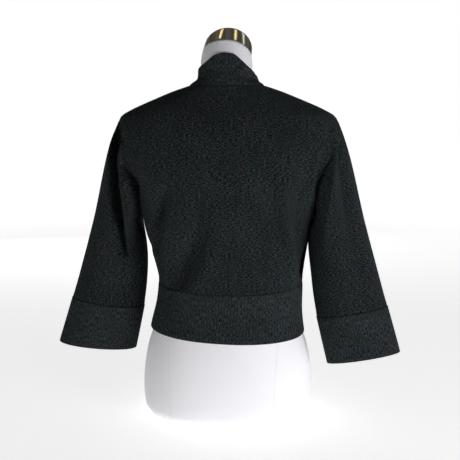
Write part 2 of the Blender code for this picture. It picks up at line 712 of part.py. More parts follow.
def make_hem_band():
    """Make the ribbed hem band, one strip round the back from front to front."""
    rows = hem_rows()
    length = np.sum(np.linalg.norm(np.diff(rows[1], axis=0), axis=1))
    ribs = 3 * round(length / RIB_PITCH / 3)
    grid = even_columns(rows, 2 * ribs, False)
    outer, inner = ribbed(grid, open_normals(grid), BAND_THICKNESS, 6, False)
    points, faces = wall_mesh(outer, inner, every=6)
    add_object("hem_band", settled(points), faces, "rib")


def collar_seam():
    """Return the band's seam on the left, centre back first: points, normals, across."""
    points, normals = [], []
    for across in np.linspace(0.0, 1.0, NECK_SEAM_POINTS):
        point, normal = back_point(across, NECK_EDGE_Z)
        points.append(point)
        normals.append(normal)
    for across in np.linspace(1.0, 0.0, SHOULDER_SEAM_POINTS)[1:]:
        point, normal = front_point(across, NECK_EDGE_Z)
        points.append(point)
        normals.append(normal)
    for z in np.linspace(NECK_EDGE_Z, HEM_Z, FRONT_SEAM_POINTS)[1:]:
        point, normal = front_point(0.0, z)
        points.append(point)
        normals.append(normal)
    return np.array(points), np.array(normals)


def band_edges():
    """Return the band's seam edge and free edge on the left, by distance from centre back."""
    seam, normals = collar_seam()
    steps = np.linalg.norm(np.diff(seam, axis=0), axis=1)
    along = np.concatenate([[0.0], np.cumsum(steps)])
    tangent = np.gradient(seam, axis=0)
    across = np.cross(tangent, normals)
    across /= np.linalg.norm(across, axis=1, keepdims=True)
    free = np.zeros_like(seam)
    keys = column(COLLAR_EDGE, "along")
    for k, distance in enumerate(along):
        stand = np.array([smooth_value(keys, column(COLLAR_EDGE, n), distance) for n in "xyz"])
        z = seam[k][2]
        flat = torso_point(free_angle(z), z, False)
        blend = min(max((distance - keys[-2]) / (keys[-1] - keys[-2]), 0.0), 1.0)
        blend = blend * blend * (3 - 2 * blend)
        free[k] = stand * (1 - blend) + flat * blend
    return seam, normals, across, free, along


def band_grid():
    """Return the band from left hem to right hem: its seam row, middle row and free row.

    A last row lies off the seam row along the body's normals.
    """
    seam, normals, across, free, along = band_edges()
    corner = along[NECK_SEAM_POINTS + SHOULDER_SEAM_POINTS - 2]
    extra = CORNER_GAP * np.exp(-(((along - corner) / CORNER_REACH) ** 2))
    start = seam + across * (SEAM_GAP + extra)[:, None]
    middle = 0.5 * (start + free)
    for k, point in enumerate(middle):
        z = seam[k][2]
        flat = torso_point(0.5 * (inner_angle(z) + free_angle(z)), z, False)
        on_front = min(max((along[k] - BAND_FLAT_FROM) / BAND_FLAT_EASE, 0.0), 1.0)
        if on_front > 0:
            lift = (flat[1] - point[1]) * on_front
            middle[k] = point + np.array([0.0, min(lift, 0.0), 0.0])
    facing = start + normals * BAND_WIDTH
    left = np.array([start, middle, free, facing])
    right = left * MIRRORED
    return np.concatenate([left[:, ::-1], right[:, 1:]], axis=1)


def make_collar_band():
    """Make the ribbed band: up the left front, round the back neck, down the right front."""
    rows = band_grid()
    length = np.sum(np.linalg.norm(np.diff(rows[1], axis=0), axis=1))
    ribs = 3 * round(length / RIB_PITCH / 3)
    grid = even_columns(rows, 2 * ribs, False)
    facing = grid[3] - grid[0]
    grid = grid[:3]
    normals = open_normals(grid)
    normals[0] = facing / np.linalg.norm(facing, axis=1, keepdims=True)
    outer, inner = ribbed(grid, normals, BAND_THICKNESS, 6, False)
    points, faces = wall_mesh(outer, inner, every=6)
    add_object("collar_band", settled(points), faces, "rib")


def form_ring(cut, front_round, back_round, drop=0.0):
    """Return one level ring of the form, counter-clockwise seen from above."""
    points = []
    for k in range(FORM_COLUMNS):
        turn = 2 * math.pi * k / FORM_COLUMNS
        sin, cos = math.sin(turn), math.cos(turn)
        power = 2.0 / (back_round if sin >= 0 else front_round)
        x = (cut.half_width - drop) * math.copysign(abs(cos) ** power, cos)
        reach = (cut.back - cut.side if sin >= 0 else cut.front + cut.side) - drop
        y = cut.side + reach * math.copysign(abs(sin) ** power, sin)
        points.append((x, y, cut.z))
    return np.array(points)


def neck_frame(lean, tilt):
    """Return the turn of a plane that leans forward and tips to the wearer's right."""
    forward = np.array(
        [[1, 0, 0], [0, math.cos(lean), -math.sin(lean)], [0, math.sin(lean), math.cos(lean)]]
    )
    sideways = np.array(
        [[math.cos(tilt), 0, -math.sin(tilt)], [0, 1, 0], [math.sin(tilt), 0, math.cos(tilt)]]
    )
    return forward @ sideways


def neck_ring(ring, count):
    """Return one ring of the neck, leaning forward as much as its row says."""
    frame = neck_frame(NECK_LEAN * ring.lean, CAP_TILT * ring.lean)
    points = []
    for k in range(count):
        turn = 2 * math.pi * k / count
        depth = ring.back if math.sin(turn) >= 0 else ring.front
        local = np.array([ring.half_width * math.cos(turn), depth * math.sin(turn), 0.0])
        points.append(np.array([NECK_SHIFT, ring.middle, ring.z]) + frame @ local)
    return np.array(points)


def lofted(name, rings, colour):
    """Skin a stack of rings and close both ends with fans."""
    count = rings.shape[1]
    points = list(rings.reshape(-1, 3))
    faces = []
    for r in range(len(rings) - 1):
        for c in range(count):
            d = (c + 1) % count
            low, high = r * count, (r + 1) * count
            faces.append((low + c, low + d, high + d, high + c))
    for ring_start, ring, flip in ((0, rings[0], True), ((len(rings) - 1) * count, rings[-1], False)):
        centre = len(points)
        points.append(ring.mean(axis=0))
        for c in range(count):
            face = (ring_start + c, ring_start + (c + 1) % count, centre)
            faces.append(face[::-1] if flip else face)
    return add_object(name, points, faces, colour)


def make_form():
    """Make the limbless form: hips, waist, bust, shoulders and the neck that leans forward."""
    rings = [form_ring(cut, cut.round, cut.round) for cut in FORM_SECTIONS]
    for z in np.linspace(FORM_SHARED_FROM_Z, FORM_SHARED_TO_Z, 5):
        cut = body_section(z + FORM_CLEARANCE)._replace(z=z)
        rings.append(form_ring(cut, cut.front_round, cut.back_round, FORM_CLEARANCE))
    rings += [neck_ring(ring, FORM_COLUMNS) for ring in NECK_RINGS]
    lofted("form_torso", np.array(rings), "form_torso")


def make_neck_cap():
    """Make the metal cap that closes the neck, deepest at the back and on the right."""
    top = NECK_RINGS[-1]
    frame = neck_frame(NECK_LEAN, CAP_TILT)
    base = np.array([NECK_SHIFT, top.middle, top.z]) + frame @ np.array([0.0, 0.0, SEAM_GAP])
    rings = []
    for step in CAP_OUTLINE:
        turns = np.linspace(0.0, 2 * math.pi, CAP_COLUMNS, endpoint=False)
        radius = CAP_RADIUS * step.radius
        forward = 0.5 * (1.0 - step.radius * np.sin(turns))
        height = CAP_HEIGHT * (1.0 - (1.0 - CAP_FRONT_SHARE) * forward)
        height = (height - CAP_SIDE_RISE * step.radius * np.cos(turns)) * step.height
        local = np.stack([radius * np.cos(turns), radius * np.sin(turns), height], axis=1)
        rings.append(local @ frame.T + base)
    lofted("form_neck_cap", np.array(rings), "form_neck_cap")


def clear_scene():
    """Remove every object that the new file came with."""
    for obj in list(bpy.data.objects):
        bpy.data.objects.remove(obj, do_unlink=True)


def main():
    """Build the whole part."""
    clear_scene()
    make_form()
    make_neck_cap()
    make_back()
    make_fronts()
    for side in ("left", "right"):
        make_sleeve(side)
        make_cuff(side)
    make_hem_band()
    make_collar_band()


if __name__ == "__main__":
    main()
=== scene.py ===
"""Looks of a cropped open cardigan in fine charcoal knit, resting on a limbless dress form.

Metres, +Z up. The garment's front faces -Y and the wearer's left is +X. Each cloth piece is a
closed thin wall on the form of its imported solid, with finer folds, ribs, rounded edges and knit.
"""
import math
from collections import namedtuple

import bpy
import numpy as np
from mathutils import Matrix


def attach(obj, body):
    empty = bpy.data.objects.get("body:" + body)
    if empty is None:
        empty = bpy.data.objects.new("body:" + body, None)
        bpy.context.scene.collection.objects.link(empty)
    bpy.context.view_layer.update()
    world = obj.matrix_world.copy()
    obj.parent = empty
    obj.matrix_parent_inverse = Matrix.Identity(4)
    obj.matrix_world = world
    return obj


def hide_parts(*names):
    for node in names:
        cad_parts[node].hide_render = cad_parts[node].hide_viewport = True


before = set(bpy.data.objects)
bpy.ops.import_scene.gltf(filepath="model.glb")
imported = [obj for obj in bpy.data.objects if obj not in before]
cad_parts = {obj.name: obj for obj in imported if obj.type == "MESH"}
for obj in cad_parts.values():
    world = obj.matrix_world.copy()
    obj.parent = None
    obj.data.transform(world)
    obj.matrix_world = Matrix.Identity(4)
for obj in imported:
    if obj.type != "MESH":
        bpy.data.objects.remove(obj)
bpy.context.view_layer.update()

bl_info = {
    "name": "Cropped Cardigan on a Dress Form",
    "version": (1, 0, 0),
    "blender": (4, 5, 0),
    "location": "View3D > Sidebar > Cardigan",
    "description": "Builds a knitted cardigan on its dress form around the packed model",
    "category": "Object",
}

# Driving sizes of the cardigan in metres, with the shares and turns that shape its edges
HEM_Z = 0.167
WAIST_Z = 0.259
UNDERARM_Z = 0.388
SHOULDER_TIP_Z = 0.5845
NECK_Z = 0.641
NECK_EDGE_Z = NECK_Z - 0.0006
RIB_PITCH = 0.0060
RIB_ROUND = 0.8
SEAM_GAP = 0.0003
CORNER_GAP = 0.0008
CORNER_REACH = 0.009
SEAM_EASE = 0.02
SEAM_ROLL = 0.0028
ROLL_FROM_TURN = math.radians(130.0)
ROLL_EASE_TURN = math.radians(72.0)
FRONT_GAP = 0.024
BAND_WIDTH = 0.060
WIDEST_SHARE = 0.995
BAND_FLAT_FROM = 0.20
BAND_FLAT_EASE = 0.07
BAND_SEAM_SHARE = 0.4
ARMHOLE_BACK_DEPTH = 0.058
ARMHOLE_FRONT_DEPTH = 0.064
ARMHOLE_ROUND = 1.8
ARMHOLE_SKEW = 0.28
LEFT_ARMHOLE_EXTRA = 0.0150
LEFT_ARMHOLE_Z = 0.553
LEFT_ARMHOLE_SPREAD = 0.042
LEFT_ARMHOLE_LOW = 0.0100
LEFT_ARMHOLE_LOW_Z = 0.468
LEFT_ARMHOLE_LOW_SPREAD = 0.030
ARMHOLE_MIDDLE = 0.5 * (UNDERARM_Z + SHOULDER_TIP_Z)
ARMHOLE_HALF = 0.5 * (SHOULDER_TIP_Z - UNDERARM_Z)

# How the cloth has settled: the waist hangs to the wearer's right, the waist seam and the hem
# rise towards the sides, the right cuff lies further back, and the neck stands to the left
CUFF_BACK_SHIFT = 0.022
CUFF_OUT_SHIFT = 0.004
CUFF_OUTER_RISE = {"left": -0.0090, "right": 0.0055}
CUFF_INNER_RISE = {"left": -0.0010, "right": -0.0045}
CUFF_OUTER_EASE = {"left": 0.0040, "right": -0.0060}
CUFF_INNER_EASE = {"left": -0.0010, "right": 0.0065}
CUFF_BACK_RISE = {"left": 0.0010, "right": 0.0060}
INNER_OUT_SHARE = 0.3
INNER_SHIFT_SPREAD = 0.03
INNER_SHIFT_START = 5.0
INNER_SHIFTS = {"left": ((0.372, 0.0040),), "right": ((0.335, -0.0045), (0.380, -0.0135))}
WAIST_SHIFT = 0.006
WAIST_RISE = 0.006
HEM_RISE = 0.004
HEM_TILT = 0.004
NECK_SHIFT = 0.003
COLLAR_RIGHT_DROP = 0.014
COLLAR_LEFT_DROP = 0.009
COLLAR_RIGHT_EASE = 0.0025
COLLAR_HOLLOW = 0.0035
COLLAR_SIDE_HOLLOW = 0.0060
COLLAR_RIGHT_FROM = 0.016
COLLAR_FALL = 0.038
BEHIND_FROM_Y = -0.08
BEHIND_EASE = 0.06
NECK_EASE = 0.03
COLLAR_BEHIND_EASE = 0.08
SETTLE_TOP_Z = 0.385
SETTLE_HALF_WIDTH = 0.150

# Driving sizes of the dress form
FORM_CLEARANCE = 0.0017
NECK_LEAN = math.radians(36.5)
CAP_TILT = math.radians(1.8)
CAP_RADIUS = 0.0464
CAP_HEIGHT = 0.0315
CAP_FRONT_SHARE = 0.24
CAP_SIDE_RISE = 0.0050

# Fineness of the meshes, and the row lengths that their columns are spaced by
SIDE_ROWS = 44
ARMHOLE_ROWS = 72
SHOULDER_ROWS = 26
ROW_LEAD = 0.35
PANEL_PITCH = 0.0028
SLEEVE_PITCH = 0.0032
ARMHOLE_STEPS = 66
INSIDE_SHARE = 0.98
INSIDE_STEP = 0.01
RIB_COLUMNS = 8
BAND_ROW_PITCH = 0.0050
FORM_COLUMNS = 180
FORM_ROW_PITCH = 0.0035
CAP_COLUMNS = 128
NECK_SEAM_POINTS = 40
SHOULDER_SEAM_POINTS = 8
FRONT_SEAM_POINTS = 260
CUFF_COLUMNS = 180
HEM_FRONT_POINTS = 60
HEM_BACK_POINTS = 180
BACK_HALF_ROW = 0.19
FRONT_ROW = 0.15
NORMAL_STEP = 1.0e-4
NORMAL_RADIUS = 0.1
ROUND_STEPS = np.array([0.0, 0.10, 0.38, 1.0])
EDGE_SHARE = 0.45
RIDGE_FROM_EDGE = 0.0040
RIDGE_WIDTH = 0.0024
END_SHARES = (0.96, 0.70, 0.35, 0.04)
MIRRORED = np.array([-1.0, 1.0, 1.0])

# Level cuts through the cardigan's middle surface. half_width reaches to the side seam, or above
# the underarm to where the body would end without its armhole. back and front are the depths at
# the centre, side is the y of the side and shoulder seams, and the last two shape the corners.
Section = namedtuple("Section", "z half_width back front side back_round front_round")
BODY_SECTIONS = (
    Section(0.167, 0.1505, 0.1120, 0.1060, 0.000, 2.30, 2.30),
    Section(0.200, 0.1445, 0.1095, 0.1045, 0.000, 2.30, 2.30),
    Section(0.230, 0.1405, 0.1080, 0.1035, 0.000, 2.30, 2.30),
    Section(0.259, 0.1395, 0.1080, 0.1035, 0.000, 2.30, 2.30),
    Section(0.290, 0.1440, 0.1085, 0.1085, 0.000, 2.30, 2.25),
    Section(0.336, 0.1530, 0.1105, 0.1200, 0.001, 2.30, 2.20),
    Section(0.388, 0.1630, 0.1140, 0.1330, 0.002, 2.30, 2.15),
    Section(0.405, 0.1680, 0.1150, 0.1365, 0.002, 2.30, 2.15),
    Section(0.430, 0.1780, 0.1160, 0.1390, 0.003, 2.30, 2.15),
    Section(0.460, 0.1930, 0.1160, 0.1370, 0.004, 2.28, 2.10),
    Section(0.490, 0.2090, 0.1140, 0.1290, 0.005, 2.25, 2.10),
    Section(0.520, 0.2170, 0.1095, 0.1160, 0.007, 2.20, 2.05),
    Section(0.550, 0.2160, 0.1030, 0.0990, 0.009, 2.15, 2.00),
    Section(0.572, 0.2095, 0.0955, 0.0865, 0.010, 2.12, 1.95),
    Section(0.5845, 0.2020, 0.0905, 0.0800, 0.011, 2.10, 1.90),
    Section(0.595, 0.1845, 0.0860, 0.0740, 0.012, 2.05, 1.85),
    Section(0.606, 0.1605, 0.0810, 0.0675, 0.012, 2.00, 1.80),
    Section(0.6175, 0.1330, 0.0755, 0.0605, 0.012, 2.00, 1.75),
    Section(0.629, 0.1045, 0.0700, 0.0530, 0.012, 2.00, 1.70),
    Section(0.641, 0.0690, 0.0645, 0.0460, 0.010, 2.00, 1.70),
)

# Where the front panels end at the band's seam
NeckEdge = namedtuple("NeckEdge", "z x")
FRONT_EDGE = (
    NeckEdge(0.167, 0.0720),
    NeckEdge(0.480, 0.0720),
    NeckEdge(0.560, 0.0745),
    NeckEdge(0.605, 0.0735),
    NeckEdge(0.630, 0.0715),
    NeckEdge(0.641, 0.0703),
)

# The band's free edge beside the neck, by the distance from the centre back along its seam
FreeEdge = namedtuple("FreeEdge", "along x y z")
COLLAR_EDGE = (
    FreeEdge(0.000, 0.0000, 0.0440, 0.7000),
    FreeEdge(0.022, 0.0160, 0.0425, 0.6995),
    FreeEdge(0.045, 0.0320, 0.0360, 0.6930),
    FreeEdge(0.070, 0.0505, 0.0080, 0.6810),
    FreeEdge(0.100, 0.0535, -0.0330, 0.6700),
    FreeEdge(0.140, 0.0520, -0.0740, 0.6480),
    FreeEdge(0.180, 0.0440, -0.1000, 0.6160),
    FreeEdge(0.215, 0.0330, -0.1130, 0.5820),
    FreeEdge(0.260, 0.0180, -0.1235, 0.5370),
    FreeEdge(0.310, 0.0120, -0.1310, 0.4915),
)

# Rings of the left sleeve, from just past the armhole to the cuff's seam, then of the cuff. The
# outer and inner points lie on the sleeve's two edges, back and front are its half depths, middle
# is how far back it lies, and follow is how much of the armhole's shape the ring still keeps.
Ring = namedtuple("Ring", "outer_x outer_z inner_x inner_z back front middle follow")
SLEEVE_RINGS = (
    Ring(0.2020, 0.5845, 0.1630, 0.3880, 0.058, 0.066, 0.006, 1.00),
    Ring(0.2085, 0.5755, 0.1688, 0.3916, 0.060, 0.067, 0.006, 0.90),
    Ring(0.2150, 0.5610, 0.1714, 0.3892, 0.061, 0.067, 0.006, 0.70),
    Ring(0.2245, 0.5360, 0.1718, 0.3820, 0.062, 0.066, 0.006, 0.50),
    Ring(0.2352, 0.5020, 0.1692, 0.3675, 0.061, 0.064, 0.005, 0.32),
    Ring(0.2450, 0.4650, 0.1660, 0.3500, 0.059, 0.061, 0.005, 0.16),
    Ring(0.2545, 0.4270, 0.1640, 0.3300, 0.057, 0.058, 0.004, 0.06),
    Ring(0.2650, 0.3870, 0.1632, 0.3080, 0.054, 0.055, 0.003, 0.00),
    Ring(0.2765, 0.3480, 0.1640, 0.2850, 0.051, 0.052, 0.002, 0.00),
    Ring(0.2890, 0.3070, 0.1662, 0.2600, 0.048, 0.048, 0.001, 0.00),
    Ring(0.3015, 0.2660, 0.1697, 0.2335, 0.045, 0.045, 0.000, 0.00),
    Ring(0.3145, 0.2250, 0.1742, 0.2055, 0.043, 0.042, 0.000, 0.00),
)
CUFF_RINGS = (
    Ring(0.3150, 0.2250, 0.1737, 0.2055, 0.044, 0.043, 0.000, 0.00),
    Ring(0.3300, 0.1790, 0.1835, 0.1610, 0.042, 0.041, 0.000, 0.00),
    Ring(0.3450, 0.1325, 0.1940, 0.1150, 0.040, 0.039, 0.000, 0.00),
)

# The form's own level cuts, below the shoulders that it shares with the cardigan
FormSection = namedtuple("FormSection", "z half_width back front side round")
FORM_SECTIONS = (
    FormSection(0.000, 0.1560, 0.1000, 0.0970, 0.000, 2.25),
    FormSection(0.012, 0.1635, 0.1075, 0.1040, 0.000, 2.25),
    FormSection(0.032, 0.1670, 0.1115, 0.1070, 0.000, 2.25),
    FormSection(0.062, 0.1678, 0.1130, 0.1080, 0.000, 2.25),
    FormSection(0.100, 0.1645, 0.1120, 0.1060, 0.000, 2.25),
    FormSection(0.140, 0.1570, 0.1075, 0.1010, 0.000, 2.20),
    FormSection(0.167, 0.1480, 0.1025, 0.0970, 0.000, 2.20),
    FormSection(0.200, 0.1380, 0.0950, 0.0930, 0.000, 2.15),
    FormSection(0.235, 0.1280, 0.0870, 0.0900, 0.000, 2.10),
    FormSection(0.275, 0.1240, 0.0810, 0.0890, 0.000, 2.10),
    FormSection(0.320, 0.1285, 0.0810, 0.0930, 0.000, 2.10),
    FormSection(0.365, 0.1370, 0.0850, 0.1080, 0.001, 2.10),
    FormSection(0.405, 0.1430, 0.0910, 0.1240, 0.002, 2.10),
    FormSection(0.440, 0.1510, 0.0970, 0.1290, 0.003, 2.10),
    FormSection(0.475, 0.1660, 0.1010, 0.1220, 0.004, 2.15),
    FormSection(0.505, 0.1785, 0.1010, 0.1090, 0.006, 2.20),
    FormSection(0.535, 0.1880, 0.0980, 0.0930, 0.008, 2.20),
    FormSection(0.560, 0.1900, 0.0930, 0.0800, 0.010, 2.15),
    FormSection(0.580, 0.1840, 0.0870, 0.0720, 0.011, 2.10),
    FormSection(0.592, 0.1740, 0.0830, 0.0680, 0.011, 2.05),
    FormSection(0.602, 0.1580, 0.0790, 0.0640, 0.012, 2.00),
)
FORM_SHARED_FROM_Z = 0.6045
FORM_SHARED_TO_Z = 0.628
FORM_SHARED_RINGS = 5

# Rings of the form's neck, each tilted further forward
NeckRing = namedtuple("NeckRing", "z half_width back front middle lean")
NECK_RINGS = (
    NeckRing(0.6380, 0.0640, 0.0540, 0.0400, 0.0050, 0.03),
    NeckRing(0.6480, 0.0550, 0.0500, 0.0450, 0.0020, 0.15),
    NeckRing(0.6580, 0.0508, 0.0485, 0.0460, -0.0010, 0.35),
    NeckRing(0.6680, 0.0493, 0.0480, 0.0470, -0.0060, 0.60),
    NeckRing(0.6845, 0.0491, 0.0480, 0.0475, -0.0115, 0.85),
    NeckRing(0.6985, 0.0474, 0.0472, 0.0472, -0.0170, 1.00),
)

# The cap's outline from its lower edge to its middle, as shares of its radius and height
CapPoint = namedtuple("CapPoint", "radius height")
CAP_OUTLINE = (
    CapPoint(0.975, 0.000),
    CapPoint(0.994, 0.018),
    CapPoint(1.000, 0.050),
    CapPoint(1.000, 0.550),
    CapPoint(0.999, 0.760),
    CapPoint(0.995, 0.860),
    CapPoint(0.985, 0.915),
    CapPoint(0.970, 0.950),
    CapPoint(0.950, 0.972),
    CapPoint(0.920, 0.985),
    CapPoint(0.830, 1.002),
    CapPoint(0.700, 1.020),
    CapPoint(0.350, 1.040),
    CapPoint(0.060, 1.044),
)

# Soft folds in the cloth. Each runs along a line between two places and fades at both ends:
# across and z for a body panel (across is x), turn in degrees and share of the way down for a
# sleeve, where 0 degrees is its outer edge and 90 its back. A positive depth is a trough, a
# negative one a ridge, and a higher sharpness gives it steeper sides.
Fold = namedtuple("Fold", "across_a up_a across_b up_b width depth sharpness", defaults=(2.0,))
BACK_FOLDS = (
    Fold(0.103, 0.445, 0.138, 0.335, 0.011, 0.0180),
    Fold(0.128, 0.350, 0.126, 0.268, 0.010, 0.0060),
    Fold(0.111, 0.350, 0.112, 0.268, 0.009, -0.0070),
    Fold(0.042, 0.440, 0.042, 0.350, 0.017, 0.0060),
    Fold(0.046, 0.365, 0.090, 0.258, 0.018, 0.0135, 3.0),
    Fold(0.014, 0.350, 0.055, 0.262, 0.018, -0.0060),
    Fold(-0.108, 0.455, -0.128, 0.275, 0.010, -0.0150),
    Fold(-0.142, 0.450, -0.143, 0.285, 0.010, 0.0130),
    Fold(-0.146, 0.285, -0.128, 0.262, 0.009, 0.0050),
    Fold(0.166, 0.495, 0.152, 0.395, 0.009, 0.0080),
    Fold(-0.170, 0.515, -0.160, 0.440, 0.006, -0.0055),
    Fold(0.198, 0.560, 0.195, 0.495, 0.005, -0.0050),
    Fold(-0.203, 0.565, -0.199, 0.530, 0.005, -0.0040),
    Fold(-0.183, 0.515, -0.172, 0.440, 0.006, 0.0080, 3.0),
    Fold(-0.030, 0.420, -0.070, 0.275, 0.030, 0.0050),
)
FRONT_FOLDS = (
    Fold(0.150, 0.470, 0.128, 0.400, 0.014, 0.0045),
    Fold(0.125, 0.400, 0.132, 0.285, 0.016, 0.0040),
    Fold(0.100, 0.340, 0.104, 0.262, 0.018, -0.0025),
)
SLEEVE_FOLDS = {
    "left": (
        Fold(100.0, 0.06, 134.0, 0.48, 12.0, -0.0060),
        Fold(166.0, 0.30, 178.0, 0.48, 7.0, 0.0100),
        Fold(150.0, 0.30, 142.0, 0.80, 18.0, 0.0045),
        Fold(316.0, 0.12, 250.0, 0.60, 16.0, 0.0075),
        Fold(285.0, 0.45, 300.0, 0.90, 16.0, 0.0035),
        Fold(92.0, 0.62, 84.0, 0.98, 18.0, 0.0025),
    ),
    "right": (
        Fold(42.0, 0.03, 60.0, 0.72, 18.0, 0.0140),
        Fold(146.0, 0.08, 168.0, 0.42, 12.0, 0.0080),
        Fold(132.0, 0.28, 140.0, 0.85, 18.0, 0.0045),
        Fold(310.0, 0.14, 262.0, 0.58, 16.0, 0.0070),
        Fold(70.0, 0.60, 52.0, 0.98, 16.0, 0.0035),
        Fold(290.0, 0.50, 304.0, 0.92, 16.0, 0.0030),
    ),
}
SLEEVE_FOLD_SCALE = 160.0
FOLD_END = 0.12
FOLD_FADE = 0.8
FOLD_FIRST_RING = 0.9
FOLD_LAST_RINGS = 1.5

# Deep tucks behind the shoulders, where no arm fills the sleeve: the cloth drops straight forward
SLEEVE_TUCKS = {
    "left": (
        Fold(27.0, 0.03, 68.0, 0.156, 15.0, 0.0500, 4.0),
        Fold(68.0, 0.15, 89.0, 0.36, 17.5, 0.0560, 4.0),
        Fold(91.0, 0.34, 110.0, 0.56, 9.0, 0.0330, 2.5),
        Fold(92.0, 0.036, 162.0, 0.042, 9.0, 0.0440, 4.0),
    ),
    "right": (
        Fold(98.0, 0.030, 152.0, 0.036, 4.5, 0.0330, 4.0),
        Fold(150.0, 0.04, 162.0, 0.26, 5.5, 0.0300, 3.0),
        Fold(62.0, 0.03, 90.0, 0.24, 12.0, -0.0055, 2.0),
        Fold(92.0, 0.22, 110.0, 0.44, 12.0, -0.0055, 2.0),
    ),
}
SLEEVE_TUCK_SCALE = 270.0

# Each cloth piece as it was cut: the width and length of its flat piece, and its flat area
Cut = namedtuple("Cut", "width length area")

# Studio lights: where each stands, its size, its power, and its colour. All face the cardigan.
Lamp = namedtuple("Lamp", "name place width height power colour")
LAMPS = (
    Lamp("key_light", (-1.65, 1.30, 0.14), 1.0, 0.7, 41.0, (0.965, 0.965, 1.00)),
    Lamp("fill_light", (1.60, 1.45, 0.20), 1.0, 0.6, 5.6, (0.99, 0.995, 0.98)),
    Lamp("front_light", (0.60, -2.00, 0.90), 1.6, 1.4, 6.0, (1.00, 1.00, 1.00)),
)
LAMP_TARGET = (0, 0, 0.38)

# Narrow strips that draw the neck cap's bright lines, each by the turn round the cap where its
# mirror image shows
Strip = namedtuple("Strip", "name turn power colour")
CAP_STRIPS = (
    Strip("cap_strip_left", 80.2, 0.20, (1.00, 0.84, 0.46)),
    Strip("cap_strip_middle", 114.2, 0.18, (1.00, 0.86, 0.50)),
    Strip("cap_strip_right", 135.0, 0.13, (0.80, 0.92, 1.00)),
)
CAP_STRIP_REACH = 0.60
CAP_STRIP_WIDTH = 0.075
CAP_STRIP_LENGTH = 0.30
CAP_STRIP_RISE = 0.012

# The darker turned bands of the cap, as shares of its colour
CAP_DULL = (0.56, 0.54, 0.44)

# The floor, and how much brighter the light from all round is where a surface mirrors it
FLOOR_HALF = 14.0
FLOOR_DROP = 0.0005
GLOSSY_BOOST = 0.07

# The yarn: its stitch widths and heights, how far they stand up, how much painted shade darkens
# the grooves between ribs, its lightness, and how its grain stretches along and across the rows
KnitLook = namedtuple("KnitLook", "wale course bump groove lightness along across grain")
KNIT_LOOK = KnitLook(0.0019, 0.0021, 0.00042, 0.0, 1.06, 0.36, 1.45, 1.85)
RIB_LOOK = KnitLook(RIB_PITCH / 4, 0.0023, 0.00038, 0.34, 1.55, 1.95, 0.24, 1.55)
THREAD_PITCH = 0.0032

WHITE = (1.0, 1.0, 1.0, 1.0)

# Cloudy patterns in the materials: their fineness, their detail and the range that is used
Cloud = namedtuple("Cloud", "scale detail low high")
YARN_GRAIN = Cloud(590.0, 1.0, 0.42, 0.60)
YARN_PATCHES = Cloud(240.0, 2.0, 0.36, 0.66)
YARN_FLECKS = Cloud(800.0, 1.0, 0.60, 0.76)
YARN_TINTS = Cloud(60.0, 3.0, 0.46, 0.68)
YARN_SHADES = Cloud(18.0, 2.0, 0.3, 0.7)
COVER_SHADES = Cloud(14.0, 2.0, 0.3, 0.7)
METAL_BANDS = Cloud(150.0, 2.0, 0.42, 0.62)
FLOOR_SHADES = Cloud(3.0, 2.0, 0.3, 0.7)


def column(table, name):
    """Return one named column of a table as an array."""
    return np.array([getattr(row, name) for row in table])


def hermite(low, high, low_slope, high_slope, gap, t):
    """Read a curve between two values with their slopes, at the share t of the gap."""
    return (
        low * (1 + 2 * t) * (1 - t) ** 2
        + low_slope * gap * t * (1 - t) ** 2
        + high * t * t * (3 - 2 * t)
        + high_slope * gap * t * t * (t - 1)
    )


def smooth_value(xs, ys, x):
    """Pass a smooth curve through (xs, ys) that never overshoots, and read it at x."""
    x = np.clip(x, xs[0], xs[-1])
    steps = np.diff(xs)
    rises = np.diff(ys) / steps
    slopes = np.zeros(len(xs))
    slopes[0] = rises[0]
    slopes[-1] = rises[-1]
    for i in range(1, len(xs) - 1):
        if rises[i - 1] * rises[i] > 0:
            before = 2 * steps[i] + steps[i - 1]
            after = steps[i] + 2 * steps[i - 1]
            slopes[i] = (before + after) / (before / rises[i - 1] + after / rises[i])
    i = np.clip(np.searchsorted(xs, x) - 1, 0, len(xs) - 2)
    t = (x - xs[i]) / steps[i]
    return hermite(ys[i], ys[i + 1], slopes[i], slopes[i + 1], steps[i], t)


def read_table(table, key, name, x):
    """Read one column of a table smoothly at the key's values x."""
    return smooth_value(column(table, key), column(table, name), x)


def body_section(z):
    """Return the cardigan's level cuts at the heights z."""
    values = [read_table(BODY_SECTIONS, "z", name, z) for name in Section._fields[1:]]
    return Section(z, *values)


def eased(share):
    """Return a share from 0 to 1 with soft ends, held there outside them."""
    share = np.clip(share, 0.0, 1.0)
    return share * share * (3.0 - 2.0 * share)


def unit(vectors):
    """Return vectors at length 1."""
    return vectors / np.maximum(np.linalg.norm(vectors, axis=-1, keepdims=True), 1e-12)


def signed_power(value, power):
    """Raise a value's size to a power and keep its sign."""
    return np.sign(value) * np.abs(value) ** power


def fold_depth(folds, across, up, up_scale=1.0):
    """Add up the folds at many places, each fading at its ends and to its sides."""
    total = np.zeros(np.broadcast(across, up).shape)
    for fold in folds:
        run_across = fold.across_b - fold.across_a
        run_up = (fold.up_b - fold.up_a) * up_scale
        offset_across = across - fold.across_a
        offset_up = (up - fold.up_a) * up_scale
        share = (offset_across * run_across + offset_up * run_up) / (run_across**2 + run_up**2)
        held = np.clip(share, 0.0, 1.0)
        distance = np.hypot(offset_across - held * run_across, offset_up - held * run_up)
        strength = np.sin(math.pi * (FOLD_END + (1.0 - 2.0 * FOLD_END) * held)) ** FOLD_FADE
        total += fold.depth * strength * np.exp(-((distance / fold.width) ** fold.sharpness))
    return total


